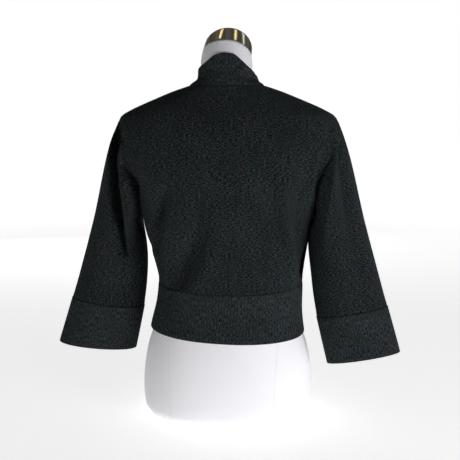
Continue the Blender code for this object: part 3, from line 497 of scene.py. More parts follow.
def armhole_depth(z, depth):
    """Return how far the armhole's edge lies from the side seam's line at the heights z."""
    share = np.clip((z - ARMHOLE_MIDDLE) / ARMHOLE_HALF, -1.0, 1.0)
    oval = (1.0 - np.abs(share) ** ARMHOLE_ROUND) ** (1.0 / ARMHOLE_ROUND)
    return depth * oval * (1.0 - ARMHOLE_SKEW * share)


def half_shape(cut, is_back):
    """Return how far one half of a level cut reaches from its side line, and its roundness."""
    if is_back:
        return cut.back - cut.side, cut.back_round
    return cut.front + cut.side, cut.front_round


def torso_points(angle, z, is_back):
    """Return middle surface points: angle 0 is the centre line and 90 degrees the side."""
    cut = body_section(z)
    half_depth, roundness = half_shape(cut, is_back)
    x = cut.half_width * signed_power(np.sin(angle), 2.0 / roundness)
    reach = half_depth * signed_power(np.cos(angle), 2.0 / roundness)
    y = cut.side + reach if is_back else cut.side - reach
    return np.stack(np.broadcast_arrays(x, y, z), axis=-1)


def torso_normals(angle, z, is_back):
    """Return the middle surface's outward normals."""
    low = np.maximum(z - NORMAL_STEP, HEM_Z)
    high = np.minimum(z + NORMAL_STEP, NECK_Z)
    step = NORMAL_STEP / NORMAL_RADIUS
    along_row = torso_points(angle + step, z, is_back) - torso_points(angle - step, z, is_back)
    upward = torso_points(angle, high, is_back) - torso_points(angle, low, is_back)
    return unit(np.cross(upward, along_row) if is_back else np.cross(along_row, upward))


def settled(points):
    """Move points as the cloth has settled, in step for every piece that meets at a seam."""
    x, y, z = points[..., 0], points[..., 1], points[..., 2]
    low = eased((SETTLE_TOP_Z - z) / (SETTLE_TOP_Z - WAIST_Z))
    below_waist = eased((WAIST_Z - z) / (WAIST_Z - HEM_Z))
    behind = eased((y - BEHIND_FROM_Y) / BEHIND_EASE)
    neck = eased((z - NECK_Z) / NECK_EASE)
    at_back = eased((y - BEHIND_FROM_Y) / COLLAR_BEHIND_EASE) * neck
    right = eased((-x - COLLAR_RIGHT_FROM) / COLLAR_FALL) * at_back
    left = eased(x / COLLAR_FALL) * at_back
    side = x / SETTLE_HALF_WIDTH
    rise = WAIST_RISE + (HEM_RISE - WAIST_RISE) * below_waist
    moved = points.copy()
    moved[..., 0] += NECK_SHIFT * neck - WAIST_SHIFT * low * (1.0 - below_waist) * behind
    moved[..., 2] += low * (rise * side**2 + HEM_TILT * side * below_waist)
    moved[..., 0] -= COLLAR_RIGHT_EASE * right
    moved[..., 2] -= COLLAR_RIGHT_DROP * right + COLLAR_LEFT_DROP * left
    return moved


def left_extra(z):
    """Return how much further in the armhole's seam runs behind the left shoulder."""
    share = np.clip((SHOULDER_TIP_Z - z) / SEAM_EASE, 0.0, 1.0)
    behind_tip = np.exp(-(((z - LEFT_ARMHOLE_Z) / LEFT_ARMHOLE_SPREAD) ** 2))
    below = np.exp(-(((z - LEFT_ARMHOLE_LOW_Z) / LEFT_ARMHOLE_LOW_SPREAD) ** 2))
    return (LEFT_ARMHOLE_EXTRA * behind_tip + LEFT_ARMHOLE_LOW * below) * share


def edge_angle(z, is_back, extra=0.0):
    """Return the angle at which a panel's row ends: side seam, armhole or shoulder seam."""
    cut = body_section(z)
    depth = ARMHOLE_BACK_DEPTH if is_back else ARMHOLE_FRONT_DEPTH
    reach = np.maximum(armhole_depth(z, depth) + extra, 0.5 * SEAM_GAP)
    half_depth, roundness = half_shape(cut, is_back)
    return np.arccos(np.minimum(reach / half_depth, 1.0) ** (roundness / 2.0))


def inner_angle(z):
    """Return the angle at which a front panel's row starts, at the band's seam."""
    cut = body_section(z)
    edge_x = read_table(FRONT_EDGE, "z", "x", z) + 0.5 * SEAM_GAP
    share = np.minimum(edge_x / cut.half_width, WIDEST_SHARE)
    return np.arcsin(share ** (cut.front_round / 2.0))


def free_angle(z):
    """Return the angle of the band's free edge down the front."""
    cut = body_section(z)
    return np.arcsin((0.5 * FRONT_GAP / cut.half_width) ** (cut.front_round / 2.0))


def seam_hold(z):
    """Fade the body's folds out towards the waist seam, which lies flat."""
    return np.sqrt(np.clip((z - WAIST_Z) / SEAM_EASE, 0.0, 1.0))


def panel(angle, z, is_back, folds):
    """Return a panel's points and normals, with its folds laid into the plain surface."""
    points = torso_points(angle, z, is_back)
    normals = torso_normals(angle, z, is_back)
    depth = fold_depth(folds, points[..., 0], z) * seam_hold(z)
    return points - normals * depth[..., None], normals


def back_panel(across, z):
    """Return the back's points and normals: across is -1 at its right edge, 1 at its left."""
    angle = across * edge_angle(z, True, np.where(across > 0.0, left_extra(z), 0.0))
    return panel(angle, z, True, BACK_FOLDS)


def front_panel(across, z):
    """Return the left front's points and normals: across is 0 at the band, 1 at the side."""
    start = inner_angle(z)
    return panel(start + across * (edge_angle(z, False) - start), z, False, FRONT_FOLDS)


def stations(length, pitch, radius):
    """Return distances along a length, closer together where both its edges are rounded."""
    ends = radius * ROUND_STEPS
    count = max(round((length - 2 * radius) / pitch), 2)
    middle = np.linspace(radius, length - radius, count + 1)[1:-1]
    return np.concatenate([ends, middle, length - ends[::-1]])


def panel_rows(radius):
    """Return the heights of a panel's rows, closest at both ends of the armhole."""
    rounding = radius * ROUND_STEPS
    low = WAIST_Z + 0.5 * SEAM_GAP
    side = np.linspace(low, UNDERARM_Z, SIDE_ROWS + 1)[1:-1]
    turns = np.linspace(0.0, math.pi, ARMHOLE_ROWS + 1)
    armhole = ARMHOLE_MIDDLE - ARMHOLE_HALF * np.cos(turns)
    rise = np.linspace(0.0, 1.0, SHOULDER_ROWS + 1)[1:-1]
    rise = rise * (1.0 + ROW_LEAD * (1.0 - rise))
    shoulder = SHOULDER_TIP_Z + (NECK_EDGE_Z - SHOULDER_TIP_Z) * rise
    top = NECK_EDGE_Z - rounding[::-1]
    return np.concatenate([low + rounding, side, armhole, shoulder, top])


def mirror(grid):
    """Mirror a grid of points in x, and turn its columns round so that it still faces out."""
    return grid[:, ::-1] * MIRRORED


def run_length(grid, axis):
    """Return each point's distance along its row or column, from the first point."""
    steps = np.linalg.norm(np.diff(grid, axis=axis), axis=2)
    start = np.zeros_like(np.take(steps, [0], axis=axis))
    return np.concatenate([start, np.cumsum(steps, axis=axis)], axis=axis)


def full_turn(count):
    """Return the turns of a ring's points, the first at 0."""
    return np.linspace(0.0, 2 * math.pi, count, endpoint=False)


def wrapped(grid):
    """Repeat a closed grid's first column at its end."""
    return np.concatenate([grid, grid[:, :1]], axis=1)


def edge_distance(grid, closed):
    """Return each point's distance over the cloth to the nearest edge of its piece."""
    up = run_length(grid, 0)
    nearest = np.minimum(up, up[-1:] - up)
    if not closed:
        along = run_length(grid, 1)
        nearest = np.minimum(nearest, np.minimum(along, along[:, -1:] - along))
    return nearest


def strip_quads(first, second):
    """Join two rows of point numbers with four-sided faces."""
    return np.stack([first[:-1], first[1:], second[1:], second[:-1]], axis=-1)


def wall_faces(outer, inner, closed):
    """Return what lies at the corners of a wall's faces: its outer side, inner side and rims."""
    parts = []
    for r in range(len(outer) - 1):
        parts += [strip_quads(outer[r], outer[r + 1]), strip_quads(inner[r + 1], inner[r])]
    parts += [strip_quads(inner[0], outer[0]), strip_quads(outer[-1], inner[-1])]
    if not closed:
        parts += [strip_quads(outer[:, 0], inner[:, 0]), strip_quads(inner[:, -1], outer[:, -1])]
    return np.concatenate(parts)


def add_object(name, points, faces, layers):
    """Make one named, smooth mesh object from points, faces and its flat layers."""
    mesh = bpy.data.meshes.new(name)
    mesh.from_pydata(points.reshape(-1, 3).tolist(), [], faces)
    for layer_name, (across, up) in layers.items():
        layer = mesh.uv_layers.new(name=layer_name)
        flat = np.stack([across.ravel(), up.ravel()], axis=1)
        layer.data.foreach_set("uv", flat.ravel().astype(np.float32))
    mesh.update()
    mesh.shade_smooth()
    obj = bpy.data.objects.new(name, mesh)
    bpy.context.scene.collection.objects.link(obj)
    return obj


def add_wall(
    name, middles, normals, thickness, closed=False, rise=0.0, ridge=0.0, across=None, flat=None
):
    """Make a thin closed wall about a grid of middle points, with rounded edges.

    rise lifts the outer side alone, ridge lifts it beside the seams, and across gives the flat
    layer's first value for each column in place of the distance along the row. Distances are
    taken over the flat grid, where one is given, so that the yarn follows the cloth's own rows.
    """
    half = 0.5 * thickness
    nearest = edge_distance(middles, closed)
    share = np.clip(nearest / half, 0.0, 1.0)
    rounding = np.maximum(np.sqrt(1.0 - (1.0 - share) ** 2), EDGE_SHARE)
    lift = ridge * np.exp(-(((nearest - RIDGE_FROM_EDGE) / RIDGE_WIDTH) ** 2))
    outer = middles + normals * ((half + rise + lift) * rounding)[..., None]
    inner = middles - normals * (half * rounding)[..., None]
    numbers = np.arange(nearest.size).reshape(nearest.shape)
    flat = middles if flat is None else flat
    if closed:
        numbers, nearest, flat = wrapped(numbers), wrapped(nearest), wrapped(flat)
    along = run_length(flat, 1)
    along = along - along[:, along.shape[1] // 2][:, None]
    if across is not None:
        along = np.broadcast_to(across, along.shape)
    up = run_length(flat, 0)
    pairs = {"cloth": (along, up), "edge": (nearest, along + up)}
    layers = {
        layer: [wall_faces(values, values, closed) for values in pair]
        for layer, pair in pairs.items()
    }
    faces = wall_faces(numbers, numbers + middles[..., 0].size, closed)
    return add_object(name, np.concatenate([outer, inner]), faces.tolist(), layers)


def grid_normals(grid, closed):
    """Return outward normals of a grid from its own points."""
    if closed:
        around = np.roll(grid, -1, axis=1) - np.roll(grid, 1, axis=1)
    else:
        around = np.gradient(grid, axis=1)
    return unit(np.cross(around, np.gradient(grid, axis=0)))


def spline_rows(rows, at, wanted):
    """Pass smooth curves through rows of points that lie at the distances `at`, and read them."""
    steps = np.diff(at)[:, None, None]
    rises = np.diff(rows, axis=0) / steps
    slopes = np.empty_like(rows)
    slopes[0] = rises[0]
    slopes[-1] = rises[-1]
    slopes[1:-1] = rises[:-1] * steps[1:] + rises[1:] * steps[:-1]
    slopes[1:-1] /= steps[1:] + steps[:-1]
    i = np.clip(np.searchsorted(at, wanted, side="right") - 1, 0, len(at) - 2)
    t = (wanted - at[i])[:, None, None] / steps[i]
    return hermite(rows[i], rows[i + 1], slopes[i], slopes[i + 1], steps[i], t)


def row_places(rows):
    """Return how far along the piece each row lies, on average over its columns."""
    return run_length(rows, 0).mean(axis=1)


def back_side(side, share, z):
    """Return the back's points and normals near one side edge, in their left-hand form."""
    if side == "left":
        return back_panel(share, z)
    points, normals = back_panel(-share, z)
    return points * MIRRORED, normals * MIRRORED


def armhole_ring(side):
    """Return the armhole's points, normals and outward directions, clockwise from the tip."""
    turns = full_turn(2 * ARMHOLE_STEPS)
    z = ARMHOLE_MIDDLE + ARMHOLE_HALF * np.cos(turns)
    is_back = (np.arange(2 * ARMHOLE_STEPS) <= ARMHOLE_STEPS)[:, None]
    back, back_normals = back_side(side, 1.0, z)
    front, front_normals = front_panel(1.0, z)
    points = np.where(is_back, back, front)
    normals = np.where(is_back, back_normals, front_normals)
    inside_back = back_side(side, INSIDE_SHARE, z)[0]
    inside = np.where(is_back, inside_back, front_panel(INSIDE_SHARE, z)[0])
    for k, downward in ((0, -INSIDE_STEP), (ARMHOLE_STEPS, INSIDE_STEP)):
        points[k] = 0.5 * (back[k] + front[k])
        normals[k] = 0.5 * (back_normals[k] + front_normals[k])
        inside[k] = points[k] + np.array([0.0, 0.0, downward])
    return points, unit(normals), points - inside


def conormals(points, normals, outward):
    """Return the unit directions that lead across a seam, square to it and to the normal."""
    along = np.roll(points, -1, axis=0) - np.roll(points, 1, axis=0)
    across = unit(np.cross(along, normals))
    signs = np.sign(np.sum(across * outward, axis=1, keepdims=True))
    return across * np.where(signs == 0, 1.0, signs)


def ring_points(ring, side, length_share, count):
    """Return one sleeve ring as an oval between its outer and inner edge points."""
    swing = -1.0 if side == "left" else 1.0
    out_shift = -swing * CUFF_OUT_SHIFT * length_share
    outer = np.array([ring.outer_x + out_shift, 0.0, ring.outer_z])
    inner = np.array([ring.inner_x + INNER_OUT_SHARE * out_shift, 0.0, ring.inner_z])
    low = length_share**3
    outer += np.array([CUFF_OUTER_EASE[side], 0.0, CUFF_OUTER_RISE[side]]) * low
    inner += np.array([CUFF_INNER_EASE[side], 0.0, CUFF_INNER_RISE[side]]) * length_share**2
    for z, shift in INNER_SHIFTS[side]:
        beside = math.exp(-(((ring.inner_z - z) / INNER_SHIFT_SPREAD) ** 2))
        inner[0] += shift * beside * min(INNER_SHIFT_START * length_share, 1.0)
    turns = full_turn(count)
    points = 0.5 * (outer + inner) + 0.5 * (outer - inner) * np.cos(turns)[:, None]
    depth = np.where(np.sin(turns) > 0, ring.back, ring.front)
    points[:, 1] += ring.middle + swing * CUFF_BACK_SHIFT * length_share + depth * np.sin(turns)
    points[:, 2] += CUFF_BACK_RISE[side] * low * np.sin(turns)
    return points


def arm_share(z):
    """Return how far down the arm, cuff included, a height on its outer edge lies."""
    return (SLEEVE_RINGS[0].outer_z - z) / (SLEEVE_RINGS[0].outer_z - CUFF_RINGS[-1].outer_z)


def sleeve_fold(folds, turn, share, scale):
    """Return a sleeve's fold depths at turns in degrees, counted both ways round the tube."""
    laps = (-360.0, 0.0, 360.0)
    return sum(fold_depth(folds, turn + lap, share, scale) for lap in laps)


def sleeve_grid(side, radius):
    """Return a sleeve's left-hand form: its middle points, normals and points before the folds."""
    count = 2 * ARMHOLE_STEPS
    seam, seam_normals, outward = armhole_ring(side)
    leaving = conormals(seam, seam_normals, outward)
    seam = seam + leaving * SEAM_GAP
    plain_first = ring_points(SLEEVE_RINGS[0], side, 0.0, count)
    turns = np.abs(full_turn(count) - math.pi)
    folding = np.clip((ROLL_FROM_TURN - turns) / ROLL_EASE_TURN, 0.0, 1.0)[:, None]
    rings = [seam, seam + unit(leaving + seam_normals * folding) * SEAM_ROLL]
    for ring in SLEEVE_RINGS[1:]:
        plain = ring_points(ring, side, arm_share(ring.outer_z), count)
        rings.append(plain + ring.follow * (seam - plain_first))
    rings[-1] = rings[-1] + np.array([0.0, 0.0, 0.5 * SEAM_GAP])
    rings = np.array(rings)
    at = row_places(rings)
    wanted = stations(at[-1], SLEEVE_PITCH, radius)
    plain = spline_rows(rings, at, wanted)
    number = np.interp(wanted, at, np.arange(len(at)))
    last = len(at) - 1
    from_seam = (number - FOLD_FIRST_RING) / FOLD_FIRST_RING
    ease = np.clip(np.minimum(from_seam, (last - number) / FOLD_LAST_RINGS), 0.0, 1.0)[:, None]
    turn = 360.0 * np.arange(count) / count
    rings_down = (number / last)[:, None]
    length_down = (wanted / at[-1])[:, None]
    depth = sleeve_fold(SLEEVE_FOLDS[side], turn, rings_down, SLEEVE_FOLD_SCALE)
    grid = plain + grid_normals(plain, True) * (depth * ease)[..., None]
    drop = sleeve_fold(SLEEVE_TUCKS[side], turn, length_down, SLEEVE_TUCK_SCALE)
    grid[..., 1] -= drop * ease
    normals = -grid_normals(grid, True)
    at_seam = eased(1.0 - wanted / SEAM_ROLL)[:, None, None]
    return grid, unit(seam_normals * at_seam + normals * (1.0 - at_seam)), plain


def even_columns(grid, count, closed):
    """Space a grid's columns evenly along its rows, with the middle row as the measure."""
    if closed:
        grid = wrapped(grid)
    along = run_length(grid, 1)[grid.shape[0] // 2]
    wanted = np.linspace(0.0, along[-1], count + 1)
    if closed:
        wanted = wanted[:-1]
    rows = [[np.interp(wanted, along, row[:, axis]) for axis in range(3)] for row in grid]
    return np.array(rows).transpose(0, 2, 1)


def ribbed_rows(rows, group, closed):
    """Space rows evenly by their ribs, in whole groups of ribs, and return the ribs' number."""
    length = np.sum(np.linalg.norm(np.diff(rows[1], axis=0), axis=1))
    ribs = group * round(length / RIB_PITCH / group)
    return even_columns(rows, RIB_COLUMNS * ribs, closed), ribs


def band_rows(rows, thickness):
    """Return a band's finer rows, and the share of the band's width at which each one lies."""
    at = row_places(rows)
    wanted = stations(at[-1], BAND_ROW_PITCH, 0.5 * thickness)
    return spline_rows(rows, at, wanted), wanted / at[-1]


def rib_columns(ribs, height, closed):
    """Return each rib column's rise, rounded on the ridge and narrow in the groove."""
    count = RIB_COLUMNS * ribs + (0 if closed else 1)
    phase = np.arange(count) / RIB_COLUMNS
    return height * np.abs(np.sin(math.pi * phase)) ** RIB_ROUND


def rib_places(ribs):
    """Return each rib column's distance along a band, for its flat layer."""
    return np.arange(RIB_COLUMNS * ribs + 1) * RIB_PITCH / RIB_COLUMNS


def cuff_grid(side):
    """Return the cuff's rings in their left-hand form."""
    rings = [
        ring_points(ring, side, arm_share(ring.outer_z), CUFF_COLUMNS) for ring in CUFF_RINGS
    ]
    rings[0] = rings[0] - np.array([0.0, 0.0, 0.5 * SEAM_GAP])
    return np.array(rings)


def hem_rows():
    """Return dense rows of the hem band from the left band's seam round the back."""
    rows = []
    for z in (HEM_Z, 0.5 * (HEM_Z + WAIST_Z), WAIST_Z - 0.5 * SEAM_GAP):
        front = torso_points(np.linspace(inner_angle(z), math.pi / 2, HEM_FRONT_POINTS), z, False)
        back = torso_points(np.linspace(math.pi / 2, -math.pi / 2, HEM_BACK_POINTS), z, True)
        rows.append(np.concatenate([front, back[1:-1], front[::-1] * MIRRORED]))
    return np.array(rows)


def collar_seam():
    """Return the band's seam on the left, centre back first: points and normals."""
    neck = back_panel(np.linspace(0.0, 1.0, NECK_SEAM_POINTS), NECK_EDGE_Z)
    shoulder = front_panel(np.linspace(1.0, 0.0, SHOULDER_SEAM_POINTS)[1:], NECK_EDGE_Z)
    front = front_panel(0.0, np.linspace(NECK_EDGE_Z, HEM_Z, FRONT_SEAM_POINTS)[1:])
    parts = (neck, shoulder, front)
    return np.concatenate([p[0] for p in parts]), np.concatenate([p[1] for p in parts])


def two_sided(table, name, along):
    """Read a free edge's table so that it runs smoothly over the centre back."""
    keys = column(table, "along")
    values = column(table, name)
    sign = -1.0 if name == "x" else 1.0
    keys = np.concatenate([-keys[1:2], keys])
    values = np.concatenate([sign * values[1:2], values])
    return smooth_value(keys, values, along)


def band_grid():
    """Return the band from left hem to right hem: its seam row, middle row and free row.

    A last row lies off the seam row along the body's normals.
    """
    seam, normals = collar_seam()
    steps = np.linalg.norm(np.diff(seam, axis=0), axis=1)
    along = np.concatenate([[0.0], np.cumsum(steps)])
    across = unit(np.cross(np.gradient(seam, axis=0), normals))
    keys = column(COLLAR_EDGE, "along")
    stand = [two_sided(COLLAR_EDGE, name, along) for name in "xyz"]
    z = seam[:, 2]
    flat = torso_points(free_angle(z), z, False)
    blend = eased((along - keys[-2]) / (keys[-1] - keys[-2]))[:, None]
    free = np.stack(stand, axis=1) * (1 - blend) + flat * blend
    corner = along[NECK_SEAM_POINTS + SHOULDER_SEAM_POINTS - 2]
    extra = CORNER_GAP * np.exp(-(((along - corner) / CORNER_REACH) ** 2))
    start = seam + across * (SEAM_GAP + extra)[:, None]
    middle = 0.5 * (start + free)
    flat_middle = torso_points(0.5 * (inner_angle(z) + free_angle(z)), z, False)
    on_front = np.clip((along - BAND_FLAT_FROM) / BAND_FLAT_EASE, 0.0, 1.0)
    middle[:, 1] += np.minimum((flat_middle[:, 1] - middle[:, 1]) * on_front, 0.0)
    inward = middle * np.array([1.0, 1.0, 0.0])
    standing = 1.0 - eased(along / BAND_FLAT_FROM)[:, None]
    inward = unit(inward)
    middle -= inward * (COLLAR_HOLLOW + COLLAR_SIDE_HOLLOW * np.abs(inward[:, :1])) * standing
    left = np.array([start, middle, free, start + normals * BAND_WIDTH])
    return np.concatenate([left[:, ::-1], left[:, 1:] * MIRRORED], axis=1)


def form_ring(cut, front_round, back_round, drop=0.0):
    """Return one level ring of the form, counter-clockwise seen from above."""
    turns = full_turn(FORM_COLUMNS)
    sin, cos = np.sin(turns), np.cos(turns)
    power = 2.0 / np.where(sin >= 0, back_round, front_round)
    reach = np.where(sin >= 0, cut.back - cut.side, cut.front + cut.side) - drop
    x = (cut.half_width - drop) * signed_power(cos, power)
    y = cut.side + reach * signed_power(sin, power)
    return np.stack([x, y, np.full(FORM_COLUMNS, cut.z)], axis=1)


def neck_frame(lean, tilt):
    """Return the turn of a plane that leans forward and tips to the wearer's right."""
    forward = np.array(
        [[1, 0, 0], [0, math.cos(lean), -math.sin(lean)], [0, math.sin(lean), math.cos(lean)]]
    )
    sideways = np.array(
        [[math.cos(tilt), 0, -math.sin(tilt)], [0, 1, 0], [math.sin(tilt), 0, math.cos(tilt)]]
    )
    return forward @ sideways


def neck_top():
    """Return the middle of the neck's top and the turn of its plane."""
    top = NECK_RINGS[-1]
    return np.array([NECK_SHIFT, top.middle, top.z]), neck_frame(NECK_LEAN, CAP_TILT)


def neck_ring(ring):
    """Return one ring of the neck, leaning forward as much as its row says."""
    turns = full_turn(FORM_COLUMNS)
    depth = np.where(np.sin(turns) >= 0, ring.back, ring.front)
    across, ahead = ring.half_width * np.cos(turns), depth * np.sin(turns)
    local = np.stack([across, ahead, np.zeros(FORM_COLUMNS)], axis=1)
    frame_turn = neck_frame(NECK_LEAN * ring.lean, CAP_TILT * ring.lean)
    return np.array([NECK_SHIFT, ring.middle, ring.z]) + local @ frame_turn.T


def lofted(name, rings):
    """Skin a stack of rings, and close both ends with smaller rings and one last face."""
    low, high = rings[0].mean(axis=0), rings[-1].mean(axis=0)
    below = [low + (rings[0] - low) * share for share in END_SHARES[::-1]]
    above = [high + (rings[-1] - high) * share for share in END_SHARES]
    rings = np.concatenate([below, rings, above])
    rows, columns = rings.shape[:2]
    numbers = np.arange(rows * columns).reshape(rows, columns)
    whole = wrapped(rings)
    quads, along, up = (
        np.concatenate([strip_quads(part[r], part[r + 1]) for r in range(rows - 1)])
        for part in (wrapped(numbers), run_length(whole, 1), run_length(whole, 0))
    )
    faces = quads.tolist() + [numbers[0, ::-1].tolist(), numbers[-1].tolist()]
    flat = [np.append(part, np.full(2 * columns, part[-1, -1])) for part in (along, up)]
    return add_object(name, rings, faces, {"cloth": flat})


def add_node(tree, kind, **settings):
    """Add a shader node with its settings and its input values."""
    node = tree.nodes.new(kind)
    for name, value in settings.items():
        if name in node.inputs:
            connect(tree, value, node.inputs[name])
        else:
            setattr(node, name, value)
    return node


def connect(tree, value, socket):
    """Link another node's socket, or set a constant on the socket itself."""
    if isinstance(value, bpy.types.NodeSocket):
        tree.links.new(value, socket)
    else:
        socket.default_value = value


def maths(tree, operation, *values):
    """Add a Math node and return its result."""
    node = tree.nodes.new("ShaderNodeMath")
    node.operation = operation
    for value, socket in zip(values, node.inputs):
        connect(tree, value, socket)
    return node.outputs[0]


def mixed(tree, factor, first, second, how="MIX"):
    """Add a colour Mix node and return its colour."""
    node = tree.nodes.new("ShaderNodeMix")
    node.data_type = "RGBA"
    node.blend_type = how
    connect(tree, factor, node.inputs[0])
    connect(tree, first, node.inputs[6])
    connect(tree, second, node.inputs[7])
    return node.outputs[2]


def noise(tree, vector, scale, detail, stretch=(1.0, 1.0, 1.0)):
    """Add a noise texture in metres, stretched as asked, and return its value."""
    mapping = add_node(tree, "ShaderNodeMapping", Vector=vector)
    mapping.inputs["Scale"].default_value = [scale * part for part in stretch]
    return add_node(
        tree, "ShaderNodeTexNoise", Vector=mapping.outputs[0], Scale=1.0, Detail=detail
    ).outputs[0]


def spread(tree, value, low, high, to_low=0.0, to_high=1.0):
    """Stretch a value's range from low and high to two new ends, and hold it there."""
    node = add_node(tree, "ShaderNodeMapRange")
    for name, number in zip(("Value", "From Min", "From Max"), (value, low, high)):
        connect(tree, number, node.inputs[name])
    node.inputs["To Min"].default_value = to_low
    node.inputs["To Max"].default_value = to_high
    return node.outputs[0]


def new_material(name):
    """Start a node material and return its tree and its shader."""
    material = bpy.data.materials.new(name)
    material.use_nodes = True
    tree = material.node_tree
    return material, tree, tree.nodes["Principled BSDF"]


def cloud(tree, vector, look, stretch=(1.0, 1.0, 1.0), low=0.0, high=1.0):
    """Add one of the cloudy patterns, spread between two values."""
    value = noise(tree, vector, look.scale, look.detail, stretch)
    return spread(tree, value, look.low, look.high, low, high)


def times(tree, first, second):
    """Multiply two values."""
    return maths(tree, "MULTIPLY", first, second)


def times_plus(tree, value, factor, extra):
    """Multiply a value and add another."""
    return maths(tree, "MULTIPLY_ADD", value, factor, extra)


def flat_place(tree, layer):
    """Return the two coordinates of a flat layer, and both as one vector."""
    vector = add_node(tree, "ShaderNodeUVMap", uv_map=layer).outputs[0]
    parts = add_node(tree, "ShaderNodeSeparateXYZ", Vector=vector).outputs
    return parts[0], parts[1], vector


def object_place(tree):
    """Return places on the piece in metres."""
    return add_node(tree, "ShaderNodeTexCoord").outputs["Object"]


def shaded(tree, colour, shade):
    """Darken or lighten a colour by a value."""
    grey = add_node(tree, "ShaderNodeCombineColor")
    for socket in grey.inputs:
        connect(tree, shade, socket)
    return mixed(tree, 1.0, colour, grey.outputs[0], "MULTIPLY")


def toned(colour, share=1.0):
    """Return a plain colour, or a share of it, as a socket holds it."""
    return [share * part for part in colour] + [1.0]


def finish_shader(tree, shader, values, height=None, strength=1.0):
    """Set or link a shader's inputs by name, and give it a bump."""
    for name, value in values.items():
        connect(tree, value, shader.inputs[name])
    if height is not None:
        bump = add_node(tree, "ShaderNodeBump", Height=height, Strength=strength, Distance=1.0)
        connect(tree, bump.outputs[0], shader.inputs["Normal"])


def stitch_height(tree, across, up, wale, course):
    """Return the height of rows of small V stitches, from 0 to 1."""
    place = maths(tree, "FRACT", maths(tree, "DIVIDE", across, wale))
    leg = maths(tree, "ABSOLUTE", maths(tree, "SUBTRACT", place, 0.5))
    turn = times_plus(tree, up, 2 * math.pi / course, times(tree, leg, 4.6))
    loop = times_plus(tree, maths(tree, "SINE", turn), 0.5, 0.5)
    legs = maths(tree, "ABSOLUTE", maths(tree, "SINE", times(tree, place, 2 * math.pi)))
    return times(tree, times_plus(tree, loop, 0.6, 0.4), legs)


def knit_material(name, look, colours):
    """Make a heathered yarn: V stitches, flecks along the rows and a dark line at the seams."""
    material, tree, shader = new_material(name)
    across, up, cloth = flat_place(tree, "cloth")
    from_edge, along_edge, _ = flat_place(tree, "edge")
    place = object_place(tree)
    stretch = (look.along, look.across, 1.0)
    stitches = stitch_height(tree, across, up, look.wale, look.course)
    grain = cloud(tree, cloth, YARN_GRAIN, stretch)
    patches = cloud(tree, cloth, YARN_PATCHES, stretch)
    flecks = cloud(tree, cloth, YARN_FLECKS, stretch)
    tints = cloud(tree, cloth, YARN_TINTS)
    ground = mixed(tree, tints, toned(colours.knit_cool), toned(colours.knit_warm))
    colour = mixed(tree, times(tree, flecks, 0.6), ground, toned(colours.knit_fleck))
    dash = maths(tree, "SINE", times(tree, along_edge, 2 * math.pi / THREAD_PITCH))
    beside = spread(tree, from_edge, 0.0018, 0.0008)
    thread = times(tree, beside, times_plus(tree, dash, 0.08, 0.24))
    shades = [
        times_plus(tree, grain, look.grain, 1.0 - 0.5 * look.grain),
        times_plus(tree, patches, 0.3, 0.85),
        times_plus(tree, stitches, 0.5, 0.72),
        cloud(tree, place, YARN_SHADES, low=0.86, high=1.12),
        maths(tree, "SUBTRACT", 1.0, thread),
        look.lightness,
    ]
    # Painted shade: the grooves between the ribs are darkened in the colour, standing in for the
    # shade that falls in them
    if look.groove > 0.0:
        rib = maths(tree, "SINE", times(tree, across, math.pi / RIB_PITCH))
        ridge = maths(tree, "POWER", maths(tree, "ABSOLUTE", rib), 0.5)
        shades.append(times_plus(tree, ridge, look.groove, 1.0 - look.groove))
    shade = shades[0]
    for part in shades[1:]:
        shade = times(tree, shade, part)
    height = times_plus(tree, times(tree, thread, dash), 0.0004, times(tree, stitches, look.bump))
    height = times_plus(tree, noise(tree, place, 1500.0, 2.0), 0.00025, height)
    values = {
        "Base Color": shaded(tree, colour, shade),
        "Roughness": 0.92,
        "Specular IOR Level": 0.05,
        "Sheen Weight": 0.03,
        "Sheen Roughness": 0.55,
        "Sheen Tint": (0.75, 0.85, 0.85, 1.0),
    }
    finish_shader(tree, shader, values, height, 0.8)
    return material


def cover_material(name, colour):
    """Make the form's smooth white jersey, with a fine knit, its two back seams and painted shade
    on the neck.
    """
    material, tree, shader = new_material(name)
    across, up, _ = flat_place(tree, "cloth")
    place = object_place(tree)
    where = add_node(tree, "ShaderNodeSeparateXYZ", Vector=place).outputs
    stitches = stitch_height(tree, across, up, 0.0011, 0.0012)
    side = maths(tree, "ABSOLUTE", where[0])
    seam_x = times_plus(tree, where[2], 0.045, 0.097)
    off = maths(tree, "ABSOLUTE", maths(tree, "SUBTRACT", side, seam_x))
    groove = spread(tree, off, 0.0016, 0.0)
    # Painted shade: the cover's colour darkens towards the top of the neck, standing in for the
    # shade that falls there
    painted_neck_shade = spread(tree, where[2], 0.635, 0.675, 1.0, 0.80)
    ground = mixed(tree, cloud(tree, place, COVER_SHADES), toned(colour, 0.975), toned(colour))
    ground = shaded(tree, ground, painted_neck_shade)
    dark = mixed(tree, 1.0, ground, (0.90, 0.90, 0.91, 1.0), "MULTIPLY")
    height = times_plus(tree, groove, -0.0005, times(tree, stitches, 0.00006))
    height = times_plus(tree, noise(tree, place, 60.0, 3.0), 0.0003, height)
    values = {
        "Base Color": mixed(tree, times(tree, groove, 0.7), ground, dark),
        "Roughness": 0.72,
        "Specular IOR Level": 0.25,
        "Sheen Weight": 0.15,
    }
    finish_shader(tree, shader, values, height, 0.6)
    return material


def metal_material(name, colour):
    """Make the cap's polished warm metal, with fine turning marks round its axis."""
    material, tree, shader = new_material(name)
    cloth = flat_place(tree, "cloth")[2]
    marks = noise(tree, cloth, 2600.0, 2.0, (0.02, 1.0, 1.0))
    broad = noise(tree, object_place(tree), 40.0, 2.0)
    bands = cloud(tree, cloth, METAL_BANDS, (1.0, 0.03, 1.0))
    dull = toned([share * part for share, part in zip(CAP_DULL, colour)])
    values = {
        "Base Color": mixed(tree, bands, dull, toned(colour)),
        "Roughness": times_plus(tree, marks, 0.08, 0.10),
        "Metallic": 1.0,
    }
    height = times_plus(tree, marks, 0.000012, times(tree, broad, 0.00008))
    finish_shader(tree, shader, values, height, 0.5)
    return material


